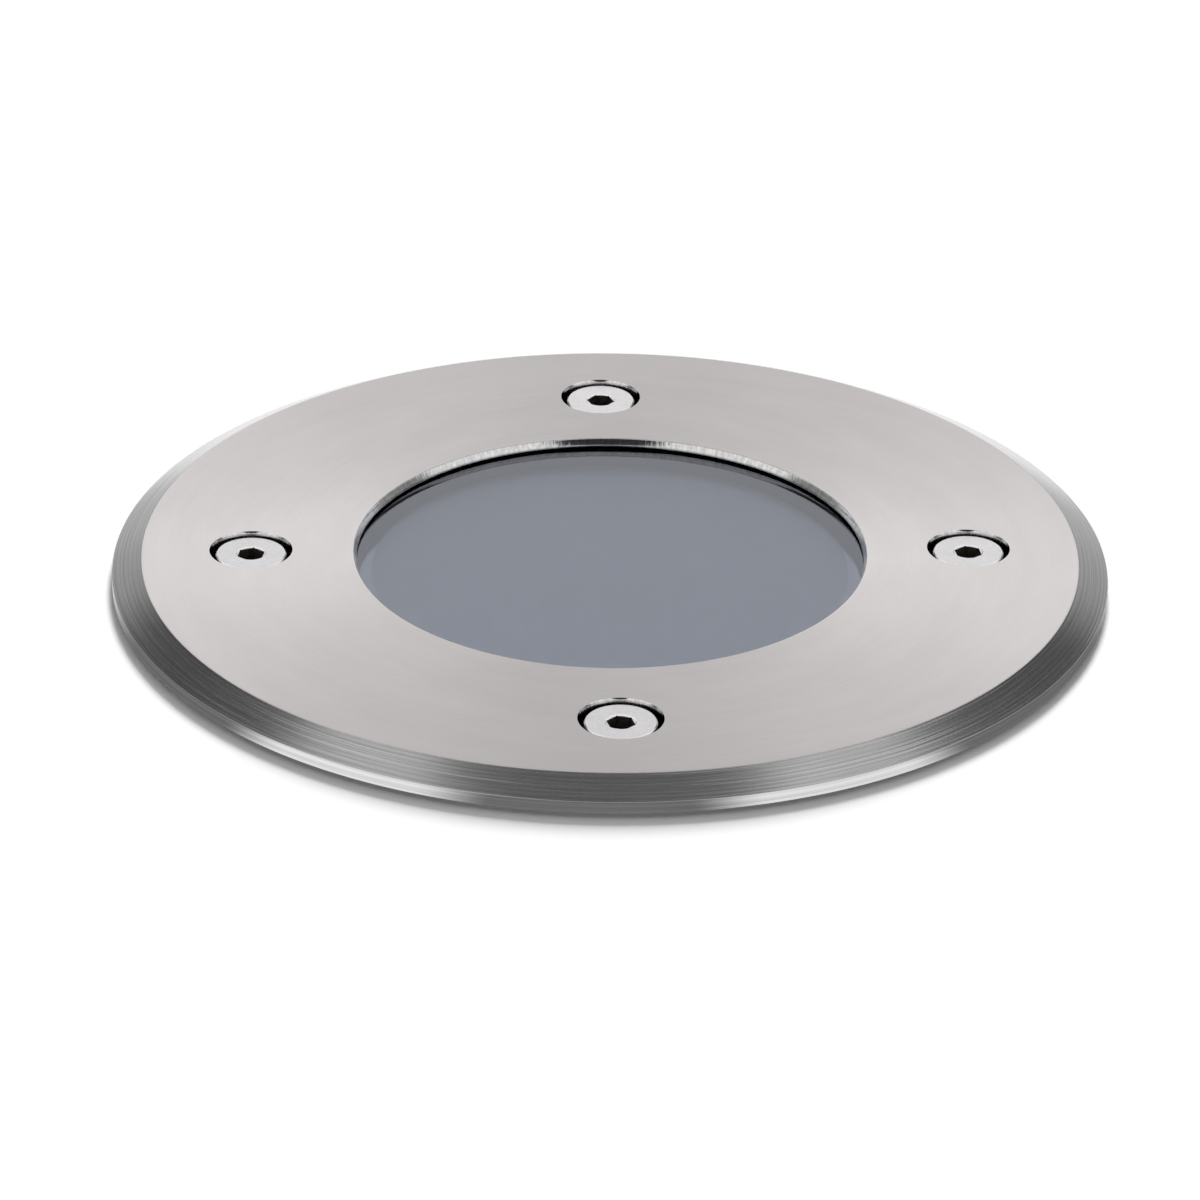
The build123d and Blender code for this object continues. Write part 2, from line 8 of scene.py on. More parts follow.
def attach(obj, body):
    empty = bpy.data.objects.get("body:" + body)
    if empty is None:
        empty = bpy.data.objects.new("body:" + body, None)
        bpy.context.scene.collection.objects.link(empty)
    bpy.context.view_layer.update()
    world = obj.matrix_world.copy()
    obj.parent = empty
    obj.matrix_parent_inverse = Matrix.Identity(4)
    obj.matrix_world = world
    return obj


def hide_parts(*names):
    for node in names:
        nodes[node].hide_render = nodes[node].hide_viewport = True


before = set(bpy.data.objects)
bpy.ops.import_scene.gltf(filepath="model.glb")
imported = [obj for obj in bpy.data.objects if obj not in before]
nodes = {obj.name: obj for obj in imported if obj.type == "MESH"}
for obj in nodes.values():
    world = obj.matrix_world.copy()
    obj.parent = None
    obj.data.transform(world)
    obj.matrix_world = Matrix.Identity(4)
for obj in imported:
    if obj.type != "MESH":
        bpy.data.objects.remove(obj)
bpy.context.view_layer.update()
mm = 0.001
print("frame loaded,", len(nodes), "nodes")


# node tools: a material is a tree of these, fed from Object coordinates
def feed(tree, node, **sockets):
    # links a node or one of its sockets, or sets a plain value; i0 is the first socket
    for key, value in sockets.items():
        numbered = key[0] == "i" and key[1:].isdigit()
        socket = node.inputs[int(key[1:]) if numbered else key.replace("_", " ")]
        if isinstance(value, bpy.types.Node):
            value = value.outputs[0]
        if isinstance(value, bpy.types.NodeSocket):
            tree.links.new(value, socket)
        elif socket.type == "RGBA":
            socket.default_value = (*value[:3], 1)
        else:
            socket.default_value = value


def addNode(tree, kind, settings=None, **sockets):
    node = tree.nodes.new("ShaderNode" + kind)
    for key, value in (settings or {}).items():
        setattr(node, key, value)
    feed(tree, node, **sockets)
    return node


def mathNode(tree, operation, a, b=0.0):
    return addNode(tree, "Math", {"operation": operation}, i0=a, i1=b)


def times(tree, a, b):
    return mathNode(tree, "MULTIPLY", a, b)


def plus(tree, a, b):
    return mathNode(tree, "ADD", a, b)


def vectorNode(tree, operation, a, b=(0, 0, 0), output=0):
    return addNode(tree, "VectorMath", {"operation": operation}, i0=a, i1=b).outputs[output]


def scaled(tree, vector, factor):
    return addNode(tree, "VectorMath", {"operation": "SCALE"}, i0=vector, Scale=factor)


def heightOf(tree, spot):
    return addNode(tree, "SeparateXYZ", Vector=spot).outputs[2]


def mapRange(tree, value, low, high, toLow=0.0, toHigh=1.0, smooth=False):
    kind = {"interpolation_type": "SMOOTHSTEP"} if smooth else {}
    return addNode(tree, "MapRange", kind, i0=value, i1=low, i2=high, i3=toLow, i4=toHigh)


def between(tree, pattern, low, high):
    # what a noise usually gives, drawn out from low to high
    return mapRange(tree, pattern, 0.3, 0.7, low, high)


def mixValue(tree, factor, a, b):
    return addNode(tree, "Mix", {"data_type": "FLOAT"}, i0=factor, i2=a, i3=b)


def mixColor(tree, factor, a, b):
    return addNode(tree, "Mix", {"data_type": "RGBA"}, i0=factor, i6=a, i7=b).outputs[2]


def noiseOf(tree, vector, scale, detail=3.0, roughness=0.5):
    return addNode(tree, "TexNoise", Vector=vector, Scale=scale, Detail=detail, Roughness=roughness)


def newMaterial(name, **sockets):
    material = bpy.data.materials.new(name)
    material.use_nodes = True
    tree = material.node_tree
    shader = tree.nodes["Principled BSDF"]
    feed(tree, shader, **sockets)
    return material, tree, shader, addNode(tree, "TexCoord").outputs["Object"]


def addBump(tree, shader, height, distance, strength):
    feed(tree, shader, Normal=addNode(tree, "Bump", Strength=strength, Distance=distance, Height=height))


def shades(color, *factors):
    return [tuple(min(channel * factor, 1.0) for channel in color) for factor in factors]


# mesh tools
def lathe(bm, outline, steps, closed=True):
    start = [bm.verts.new((r * mm, 0, z * mm)) for r, z in outline]
    pairs = zip(start, start[1:] + (start[:1] if closed else []))
    section = start + [bm.edges.new(pair) for pair in pairs]
    bmesh.ops.spin(bm, geom=section, axis=(0, 0, 1), angle=2 * pi, steps=steps, use_merge=True)
    bmesh.ops.remove_doubles(bm, verts=bm.verts, dist=1e-7)
    bmesh.ops.recalc_face_normals(bm, faces=bm.faces)


def roundEdges(bm, edges, offset, segments=3):
    bmesh.ops.bevel(
        bm, geom=list(edges), offset=offset * mm, offset_type="OFFSET", affect="EDGES",
        segments=segments, profile=0.5, material=-1, clamp_overlap=True,
    )


def rimEdges(bm, radius=None, height=None, within=0.01):
    # edges that run level round the axis, at a radius and a height if given
    found = []
    for edge in bm.edges:
        a, b = (v.co / mm for v in edge.verts)
        ra, rb = a.xy.length, b.xy.length
        level = abs(ra - rb) <= within and abs(a.z - b.z) <= within and edge.calc_length() > 1e-7
        if level and (radius is None or abs(ra - radius) < within):
            if height is None or abs(a.z - height) < within:
                found.append(edge)
    return found


def sharpEdges(bm, degrees, edges=None):
    return [e for e in edges or bm.edges if e.calc_face_angle(0) > radians(degrees)]


def shift(bm, x, y=0, z=0, verts=None):
    bmesh.ops.translate(bm, verts=verts or bm.verts, vec=(x * mm, y * mm, z * mm))


def addObject(name, data):
    added = bpy.data.objects.new(name, data)
    bpy.context.collection.objects.link(added)
    return added


def meshObject(bm, name, material=None):
    mesh = bpy.data.meshes.new(name)
    bm.to_mesh(mesh)
    bm.free()
    if material:
        mesh.materials.append(material)
    return addObject(name, mesh)


def mendCuts(bm, within=0.004):
    # joins points that a cut left side by side, and lays sound triangles in its many-sided faces
    bmesh.ops.remove_doubles(bm, verts=bm.verts, dist=within * mm)
    bmesh.ops.dissolve_degenerate(bm, edges=bm.edges, dist=within / 2 * mm)
    many = [f for f in bm.faces if len(f.verts) > 4]
    bmesh.ops.triangulate(bm, faces=many, quad_method="BEAUTY", ngon_method="BEAUTY")


def discard(pieces):
    for mesh in [piece.data for piece in pieces]:
        bpy.data.meshes.remove(mesh)


def carve(piece, cutters, operation="DIFFERENCE"):
    # cuts a piece, or adds to it, and applies whatever modifiers it has
    for cutter in cutters:
        modifier = piece.modifiers.new("carve", "BOOLEAN")
        modifier.operation = operation
        modifier.solver = "EXACT"
        modifier.object = cutter
    bpy.context.view_layer.update()
    shaped = bpy.data.meshes.new_from_object(piece.evaluated_get(bpy.context.evaluated_depsgraph_get()))
    piece.modifiers.clear()
    if cutters:
        bm = bmesh.new()
        bm.from_mesh(shaped)
        mendCuts(bm)
        bm.to_mesh(shaped)
        bm.free()
    spare, piece.data = piece.data, shaped
    shaped.name = piece.name
    bpy.data.meshes.remove(spare)
    discard(cutters)
    return piece


def smoothBy(piece, degrees):
    # round edges shade softly while large flats stay flat
    piece.data.shade_smooth()
    piece.data.set_sharp_from_angle(angle=radians(degrees))
    modifier = piece.modifiers.new("evenShading", "WEIGHTED_NORMAL")
    modifier.mode = "FACE_AREA"
    modifier.weight = 100
    modifier.keep_sharp = True
    return carve(piece, [])


def fit(piece, replaced, body="housing", degrees=28):
    if degrees:
        smoothBy(piece, degrees)
    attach(piece, body)
    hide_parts(replaced)


def around(count, start=0):
    return [radians(start) + i * 2 * pi / count for i in range(count)]


def onCircle(radius, count, start=0):
    return [(radius * cos(angle), radius * sin(angle)) for angle in around(count, start)]


def turned(outline, place=(0, 0), steps=48, axis="Z", closed=False, name="turned", material=None, rims=()):
    # a turned piece, its axis upright through place, or level along X
    # each rim to round is a radius, how much comes off and in how many steps
    bm = bmesh.new()
    lathe(bm, outline, steps, closed)
    for radius, offset, segments in rims:
        roundEdges(bm, rimEdges(bm, radius), offset, segments)
    if axis == "X":
        bmesh.ops.rotate(bm, verts=bm.verts, matrix=Matrix.Rotation(pi / 2, 3, "Y"))
    shift(bm, *place)
    return meshObject(bm, name, material)


def rod(radius, bottom, top, place=(0, 0), steps=48, axis="Z"):
    return turned([(0, bottom), (radius, bottom), (radius, top), (0, top)], place, steps, axis)


def block(low, high, turn=0, roundBy=0, place=(0, 0)):
    # a box from one corner to the other, turned round the origin and moved
    bm = bmesh.new()
    bmesh.ops.create_cube(bm, size=1.0)
    bmesh.ops.scale(bm, verts=bm.verts, vec=[(b - a) * mm for a, b in zip(low, high)])
    shift(bm, *((a + b) / 2 for a, b in zip(low, high)))
    bmesh.ops.rotate(bm, verts=bm.verts, matrix=Matrix.Rotation(turn, 3, "Z"))
    shift(bm, *place)
    if roundBy:
        roundEdges(bm, bm.edges, roundBy, 2)
    return meshObject(bm, "block")


def hexPrism(name, flats, bottom, top, x=0, turn=0, material=None):
    bm = bmesh.new()
    size = {"radius1": flats / sqrt(3) * mm, "radius2": flats / sqrt(3) * mm, "depth": (top - bottom) * mm}
    bmesh.ops.create_cone(bm, cap_ends=True, segments=6, **size)
    bmesh.ops.rotate(bm, verts=bm.verts, matrix=Matrix.Rotation(turn, 3, "Z"))
    shift(bm, x, 0, (top + bottom) / 2)
    return meshObject(bm, name, material)


def threadOutline(core, crest, top, bottom, pitch, root=0.42, flank=0.92):
    # rings of thread from top down to bottom, for turning; root and flank are shares of a pitch
    points, z = [], top
    while z - pitch > bottom:
        points += [(core, z - pitch * root), (core, z - pitch * (1 - root))]
        points += [(crest, z - pitch * flank), (crest, z - pitch)]
        z -= pitch
    return points


# camera: where it stands round the light, how high, and what it points at
cameraView = {
    "distance": 734 * mm, "elevation": 26.54, "azimuth": -1.95, "roll": 0.737, "lens": 182.5,
    "target": Vector((0, 0, 3.25 * mm)), "shiftLeft": 1.24 * mm, "shiftDown": 6.18 * mm,
}


def placeCamera(v):
    level, turn, roll = (radians(v[key]) for key in ("elevation", "azimuth", "roll"))
    back = Vector((cos(level) * sin(turn), -cos(level) * cos(turn), sin(level)))
    place = v["target"] + back * v["distance"]
    right = Vector((0, 0, 1)).cross(back).normalized()
    up = back.cross(right)
    right, up = right * cos(roll) + up * sin(roll), up * cos(roll) - right * sin(roll)
    aim = v["target"] - right * v["shiftLeft"] - up * v["shiftDown"]
    back = (place - aim).normalized()
    right = up.cross(back).normalized()
    up = back.cross(right)
    data = bpy.data.cameras.new("photoCamera")
    data.lens = v["lens"]
    data.sensor_width = 36
    data.clip_start = 0.01
    data.clip_end = 50
    camera = addObject("photoCamera", data)
    camera.matrix_world = Matrix.Translation(place) @ Matrix((right, up, back)).transposed().to_4x4()
    bpy.context.scene.camera = camera


placeCamera(cameraView)
bpy.context.scene.view_settings.view_transform = "Standard"
print("camera placed")

# studio: white all round for the camera, soft light for dull surfaces, and large cards that show in metal
studio = {
    "skyFill": 0.05, "groundFill": 0.75, "horizon": 0.05, "cardBase": 1,
    # each card or dark flag: turn from +Y, height, inner and outer angle, brightness
    "cards": [
        (0, 50, 10, 22, 0.16), (18, 2, 10, 17, 0.55), (28, 18, 5, 12, 0.42), (38, 36, 8, 18, 0.08),
        (46, 49, 6, 10, 0.09), (0, 80, 13.5, 18, 0.12), (53, 63, 3.5, 8, 0.55), (180, 27, 19, 26, 0.04),
        (76, 3, 12, 22, 0.28),
    ],
}


def towards(turn, height):
    turn, height = radians(turn), radians(height)
    return Vector((cos(height) * sin(turn), cos(height) * cos(turn), sin(height)))


def directGlossy(tree, path):
    # reflections that the camera sees, not those that light the floor
    unscattered = mathNode(tree, "LESS_THAN", path.outputs["Diffuse Depth"], 0.5)
    return times(tree, path.outputs["Is Glossy Ray"], unscattered)


def makeWorld(v):
    world = bpy.data.worlds.new("studioWorld")
    bpy.context.scene.world = world
    world.use_nodes = True
    tree = world.node_tree
    tree.nodes.clear()
    direction = addNode(tree, "TexCoord").outputs["Generated"]
    x, y, z = addNode(tree, "SeparateXYZ", Vector=direction).outputs
    sideways = mathNode(tree, "ABSOLUTE", x)
    folded = addNode(tree, "CombineXYZ", X=sideways, Y=y, Z=z)
    cards = v["cardBase"]
    for turn, height, inner, outer, brightness in v["cards"]:
        near = vectorNode(tree, "DOT_PRODUCT", folded, towards(turn, height), 1)
        inside = mapRange(tree, near, cos(radians(outer)), cos(radians(inner)), smooth=True)
        cards = mixValue(tree, inside, cards, brightness)
    horizon = v["horizon"]
    fill = mapRange(tree, z, -horizon, horizon, v["groundFill"], v["skyFill"])
    path = addNode(tree, "LightPath")
    glossy = mixValue(tree, directGlossy(tree, path), fill, cards)
    seen = mathNode(tree, "MAXIMUM", path.outputs["Is Camera Ray"], path.outputs["Is Transmission Ray"])
    strength = mixValue(tree, seen, glossy, 1.0)
    background = addNode(tree, "Background", Color=(1, 1, 1), Strength=strength)
    addNode(tree, "OutputWorld", i0=background)


# the low light throws the shadow forwards, the high one softens it
suns = {
    "lowSun": {"turn": 6, "height": 24, "softness": 14, "strength": 2.6},
    "highSun": {"turn": 6, "height": 48, "softness": 46, "strength": 0.54},
}


def addSun(name, v):
    data = bpy.data.lights.new(name, "SUN")
    data.angle = radians(v["softness"])
    data.energy = v["strength"]
    sun = addObject(name, data)
    place = towards(v["turn"], v["height"])
    sun.matrix_world = Matrix.Translation(place) @ place.to_track_quat("Z", "Y").to_matrix().to_4x4()
    sun.visible_glossy = False
    sun.visible_transmission = False


makeWorld(studio)
for name in suns:
    addSun(name, suns[name])
print("studio lit")

# floor: pale ground with a round hole that the light stands in, seen from above only
floor = {
    "holeRadius": 54.3 * mm, "reach": 3, "height": -0.03, "paint": 0.8, "brightness": 2,
    # what the ring's upright edge mirrors: dark in front, bright to both sides, even further out
    "dark": 0.2, "bright": 1.05, "even": 0.65, "sides": (70, 94), "evenFrom": (75 * mm, 120 * mm),
    "gleams": (25, -32.5), "gleamWidth": (8, 18),
}


def makeFloor(v):
    bm = bmesh.new()
    bmesh.ops.create_circle(bm, segments=180, radius=v["holeRadius"])
    inner = list(bm.edges)
    shift(bm, 0, 0, v["height"])
    made = bmesh.ops.extrude_edge_only(bm, edges=inner)["geom"]
    outer = [item for item in made if isinstance(item, bmesh.types.BMVert)]
    bmesh.ops.scale(bm, verts=outer, vec=(v["reach"] / v["holeRadius"],) * 2 + (1,))
    for face in bm.faces:
        if face.normal.z < 0:
            face.normal_flip()
    material = bpy.data.materials.new("groundFloor")
    ground = meshObject(bm, "groundFloor", material)
    ground.visible_shadow = False
    material.use_nodes = True
    tree = material.node_tree
    tree.nodes.clear()
    spot = addNode(tree, "TexCoord").outputs["Object"]
    x, y, _ = addNode(tree, "SeparateXYZ", Vector=spot).outputs
    path = addNode(tree, "LightPath")
    paint = mixValue(tree, path.outputs["Is Camera Ray"], v["paint"], v["brightness"])
    diffuse = addNode(tree, "BsdfDiffuse", Color=paint)
    dark, bright = v["dark"], v["bright"]
    turn = mathNode(tree, "ARCTAN2", x, times(tree, y, -1.0))
    near = mathNode(tree, "ABSOLUTE", turn)
    near = mapRange(tree, near, *(radians(side) for side in v["sides"]), dark, bright, smooth=True)
    for middle in v["gleams"]:
        away = mathNode(tree, "ABSOLUTE", mathNode(tree, "SUBTRACT", turn, radians(middle)))
        inner, outer = (radians(width) for width in v["gleamWidth"])
        gleam = mapRange(tree, away, inner, outer, bright, dark, smooth=True)
        near = mathNode(tree, "MAXIMUM", near, gleam)
    radius = vectorNode(tree, "LENGTH", spot, output=1)
    far = mapRange(tree, radius, *v["evenFrom"], smooth=True)
    glow = addNode(tree, "Emission", Strength=mixValue(tree, far, near, v["even"]))
    glossy = directGlossy(tree, path)
    shown = addNode(tree, "MixShader", i0=glossy, i1=diffuse, i2=glow)
    clear = addNode(tree, "BsdfTransparent")
    below = addNode(tree, "NewGeometry").outputs["Backfacing"]
    addNode(tree, "OutputMaterial", i0=addNode(tree, "MixShader", i0=below, i1=shown, i2=clear))


makeFloor(floor)
print("floor laid")

# brushed steel: long fine scratches round the axis, with slow drifts of tone
brushed = {
    "streaks": 0.2, "drift": 0.14, "patches": 0.09, "ridgeTone": 0.55, "spread": 0.09,
    "anisotropy": 0.7, "ridgePitch": 0.75 * mm, "ridgeHeight": 4.5, "bump": 0.004 * mm,
    # the face is brushed finely and the rim turned, so that its ridges show; grain turns the highlight
    "face": {"color": (0.79, 0.757, 0.752), "roughness": 0.32, "ridges": 0, "relief": 0.35, "grain": 0.25},
    # the rim's steel is written darker than the face's: painted shade on the sloping rim
    "rim": {"color": (0.66, 0.655, 0.66), "roughness": 0.16, "ridges": 1, "relief": 0.12, "grain": 0},
}


def makeRingSteel(name, part, v):
    look = v[part]
    material, tree, shader, spot = newMaterial(
        name, Metallic=1.0, Anisotropic=v["anisotropy"], Anisotropic_Rotation=look["grain"],
    )
    flat = vectorNode(tree, "MULTIPLY", spot, (1, 1, 0))
    outwards = vectorNode(tree, "NORMALIZE", flat)
    # how far along the ring's section, over the face and down the slope
    radius = vectorNode(tree, "LENGTH", flat, output=1)
    run = mathNode(tree, "SUBTRACT", radius, heightOf(tree, spot))

    def streaks(wrap, spacing, detail, roughness):
        lift = addNode(tree, "CombineXYZ", Z=times(tree, run, spacing))
        place = vectorNode(tree, "ADD", scaled(tree, outwards, wrap), lift)
        return noiseOf(tree, place, 1.0, detail, roughness)

    fine = streaks(7, 9000, 3, 0.65)
    ridges = streaks(1.1, 3600, 2, 0.6)
    drift = streaks(2.5, 260, 4, 0.6)
    across = times(tree, run, 2 * pi / v["ridgePitch"])
    waves = mathNode(tree, "SINE", plus(tree, across, times(tree, ridges, 7.0)))
    ridges = plus(tree, ridges, times(tree, waves, 0.12))
    patches = noiseOf(tree, spot, 55, 4, 0.6)
    tone = 1.0
    for pattern, amount in (
        (fine, v["streaks"]), (drift, v["drift"]), (patches, v["patches"]),
        (ridges, v["ridgeTone"] * look["ridges"]),
    ):
        tone = plus(tree, tone, times(tree, plus(tree, pattern, -0.5), amount))
    spread = v["spread"]
    feed(
        tree, shader, Base_Color=scaled(tree, look["color"], tone),
        Roughness=mapRange(tree, fine, 0.0, 1.0, look["roughness"] - spread, look["roughness"] + spread),
        Tangent=addNode(tree, "Tangent", {"direction_type": "RADIAL", "axis": "Z"}),
    )
    coarse = times(tree, ridges, v["ridgeHeight"] * look["ridges"])
    addBump(tree, shader, plus(tree, times(tree, fine, look["relief"]), coarse), v["bump"], 0.8)
    return material


faceSteel = makeRingSteel("brushedFaceSteel", "face", brushed)
rimSteel = makeRingSteel("brushedRimSteel", "rim", brushed)

# machined walls of the openings: bright and fine turned, with painted shade darkening them towards the
# bottom
turnedWall = {
    "color": (0.71, 0.7, 0.7), "roughness": 0.1, "paintedShade": 0.06,
    "darkBelow": 1.6 * mm, "brightAbove": 2.7 * mm,
}


def makeTurnedWall(v):
    surface = {"Metallic": 1, "Roughness": v["roughness"]}
    material, tree, shader, spot = newMaterial("turnedWallSteel", **surface)
    # the cutter left fine upright marks
    upright = addNode(tree, "Mapping", Vector=spot, Scale=(2400, 2400, 90))
    marks = noiseOf(tree, upright, 1.0, 3, 0.6)
    height = heightOf(tree, spot)
    # painted shade: below darkBelow the wall's colour falls to a small share, standing in for the shade
    # deep in the openings
    unshaded = mapRange(tree, height, v["darkBelow"], v["brightAbove"], v["paintedShade"], 1.0)
    gain = times(tree, unshaded, between(tree, marks, 0.7, 1.08))
    feed(tree, shader, Base_Color=scaled(tree, v["color"], gain))
    addBump(tree, shader, marks, 0.03 * mm, 0.7)
    return material


wallSteel = makeTurnedWall(turnedWall)

# face ring: turned plate with a sloping rim, a window and four counterbored screw holes
faceRing = {
    "aperture": 30.6, "mouthWidth": 0.34, "mouthDepth": 0.7, "mouthRound": 0.08,
    "faceRadius": 56.4, "faceHeight": 3.25, "edgeRound": 0.12,
    "radius": 60, "edgeHeight": 1.45, "rimRound": 0.03,
    "relief": 54.6, "reliefDepth": 0.3, "spigot": 51, "bottom": -3.7, "pocket": 36.5, "lipBottom": 2.3,
    "screwCircle": 43.3, "counterbore": 5, "counterboreFloor": -0.8, "clearance": 2.75,
    "boreSlope": 0.26, "boreSlopeDepth": 0.6, "steps": 288,
}


def makeFaceRing(v):
    bm = bmesh.new()
    top, mouth = v["faceHeight"], v["aperture"] + v["mouthWidth"]
    lathe(bm, [
        (mouth, top), (v["faceRadius"], top), (v["radius"], v["edgeHeight"]), (v["radius"], 0),
        (v["relief"], 0), (v["relief"], v["reliefDepth"]), (v["spigot"], v["reliefDepth"]),
        (v["spigot"], v["bottom"]), (v["pocket"], v["bottom"]), (v["pocket"], v["lipBottom"]),
        (v["aperture"], v["lipBottom"]), (v["aperture"], top - v["mouthDepth"]),
    ], v["steps"])
    roundEdges(bm, rimEdges(bm, mouth, top), v["mouthRound"], 2)
    roundEdges(bm, rimEdges(bm, v["radius"], v["edgeHeight"]), v["rimRound"], 2)
    roundEdges(bm, rimEdges(bm, v["faceRadius"]) + rimEdges(bm, v["radius"], 0), v["edgeRound"])
    ring = meshObject(bm, "faceRing", faceSteel)
    wide, ledge, below = v["counterbore"], v["counterboreFloor"], v["bottom"] - 1
    bore = wide - v["boreSlope"]
    hole = [
        (0, below), (v["clearance"], below), (v["clearance"], ledge), (bore, ledge),
        (bore, top - v["boreSlopeDepth"]), (wide, top), (wide, top + 0.5), (0, top + 0.5),
    ]
    carve(ring, [turned(hole, place, 96, closed=True) for place in onCircle(v["screwCircle"], 4)])
    ring.data.materials.append(rimSteel)
    ring.data.materials.append(wallSteel)
    for polygon in ring.data.polygons:
        radius = polygon.center.xy.length / mm
        if radius > v["faceRadius"]:
            polygon.material_index = 1  # rim
        elif radius < v["spigot"] - 0.5 and abs(polygon.normal.z) < 0.96:
            polygon.material_index = 2  # walls of the openings
    fit(ring, "face_ring", "cover", 30)


makeFaceRing(faceRing)
print("face ring turned")

# window: a thick grey glass, its underside etched in a shallow recess so that the lamp doesn't show
window = {
    "radius": 35.4, "top": 2, "thickness": 4, "edgeRound": 0.3,
    "tint": (0.68, 0.745, 0.89), "mirror": 0.125, "satin": 0.24, "satinRadius": 28.8,
    "satinSlope": 0.45, "satinDepth": 0.2,
}


def makeGlass(name, tint, ior, roughness=0.0, mirror=0.0, grain=0, relief=0.0, strength=0.3):
    # relief is how far an uneven surface rises, in mm
    material, tree, shader, spot = newMaterial(
        name, Base_Color=tint, Roughness=roughness, IOR=ior, Metallic=mirror, Transmission_Weight=1.0,
    )
    if relief:
        addBump(tree, shader, noiseOf(tree, spot, grain, 2), relief * mm, strength)
    return material


def makeWindow(v):
    top, bottom, radius, satinRadius = v["top"], v["top"] - v["thickness"], v["radius"], v["satinRadius"]
    etched = bottom + v["satinDepth"]
    outline = [(0, etched), (satinRadius - v["satinSlope"], etched), (satinRadius, bottom)]
    outline += [(radius, bottom), (radius, top), (0, top)]
    clear = makeGlass("greyWindowGlass", v["tint"], 1.52, 0.0, v["mirror"], 22, 0.02, 0.25)
    satin = makeGlass("etchedWindowGlass", v["tint"], 1.52, v["satin"], v["mirror"])
    rims = [(radius, v["edgeRound"], 2)]
    glass = turned(outline, steps=192, name="windowGlass", material=clear, rims=rims)
    glass.data.materials.append(satin)
    for polygon in glass.data.polygons:
        inside = polygon.center.xy.length < satinRadius * mm
        polygon.material_index = int(inside and polygon.normal.z < -0.9)
    fit(glass, "window_glass", "cover", 30)


def makeRubber(name, color):
    material, tree, shader, spot = newMaterial(name, IOR=1.5)
    bloom = noiseOf(tree, spot, 260, 4, 0.6)
    feed(
        tree, shader, Base_Color=mixColor(tree, bloom, color, tuple(c * 1.7 + 0.004 for c in color)),
        Roughness=between(tree, bloom, 0.5, 0.74),
    )
    addBump(tree, shader, noiseOf(tree, spot, 2600, 3), 0.02 * mm, 0.5)
    return material


blackRubber = makeRubber("blackRubber", (0.016, 0.016, 0.018))
sealSection = {
    "outer": 36.45, "cover": 5.1, "web": 35.45, "top": 2.3, "glassTop": 2, "glassBottom": -2,
    "bottom": -3.2, "lipRound": 0.08,
}


def makeGlassSeal(v):
    outer, web, inner = v["outer"], v["web"], v["outer"] - v["cover"]
    outline = [
        (inner, v["top"]), (outer, v["top"]), (outer, v["bottom"]), (inner, v["bottom"]),
        (inner, v["glassBottom"]), (web, v["glassBottom"]), (web, v["glassTop"]), (inner, v["glassTop"]),
    ]
    rims = [(inner, v["lipRound"], 2)]
    seal = turned(outline, steps=192, closed=True, name="glassSeal", material=blackRubber, rims=rims)
    fit(seal, "glass_seal", "cover", 40)


makeWindow(window)
makeGlassSeal(sealSection)
print("window and seal made")

# cover screws: flat heads with a turned rim, a hexagon socket and a rolled thread
coverScrew = {
    "headTop": 2.8, "headRadius": 4.25, "headHeight": 3.6, "rimChamfer": 0.14, "socketFlats": 3,
    "socketDepth": 2, "socketPoint": 0.7, "socketChamfer": 0.16, "shank": 2.5, "core": 2.1, "plain": 1.2,
    "pitch": 0.8, "length": 16, "tip": 0.4, "color": (0.84, 0.825, 0.84), "roughness": 0.25,
    "shadeTop": 2.45,  # painted shade fills the socket up to this height
    "turns": {"Right": 8, "Back": 22, "Left": 51, "Front": 14},
}


def makeScrewSteel(v):
    material, tree, shader, spot = newMaterial("satinScrewSteel", Metallic=1.0)
    grain = noiseOf(tree, spot, 2200, 3, 0.6)
    cloud = noiseOf(tree, spot, 320, 2)
    mixed = plus(tree, times(tree, grain, 0.6), times(tree, cloud, 0.4))
    rough = v["roughness"]
    feed(
        tree, shader, Base_Color=mixColor(tree, mixed, *shades(v["color"], 0.9, 1.06)),
        Roughness=between(tree, mixed, rough - 0.06, rough + 0.08),
    )
    addBump(tree, shader, grain, 0.0008 * mm, 0.5)
    return material


def makePaintedSocketShade():
    # painted shade on the walls and floor of a socket, dark and mottled
    material, tree, shader, spot = newMaterial("paintedSocketShade", IOR=1.48)
    mottle = noiseOf(tree, spot, 1500, 4, 0.65)
    feed(
        tree, shader, Roughness=between(tree, mottle, 0.45, 0.8),
        Base_Color=mixColor(tree, mapRange(tree, mottle, 0.35, 0.7), (0.05, 0.046, 0.04), (0.2, 0.18, 0.15)),
    )
    addBump(tree, shader, mottle, 0.05 * mm, 0.7)
    return material


screwSteel = makeScrewSteel(coverScrew)
paintedSocketShade = makePaintedSocketShade()


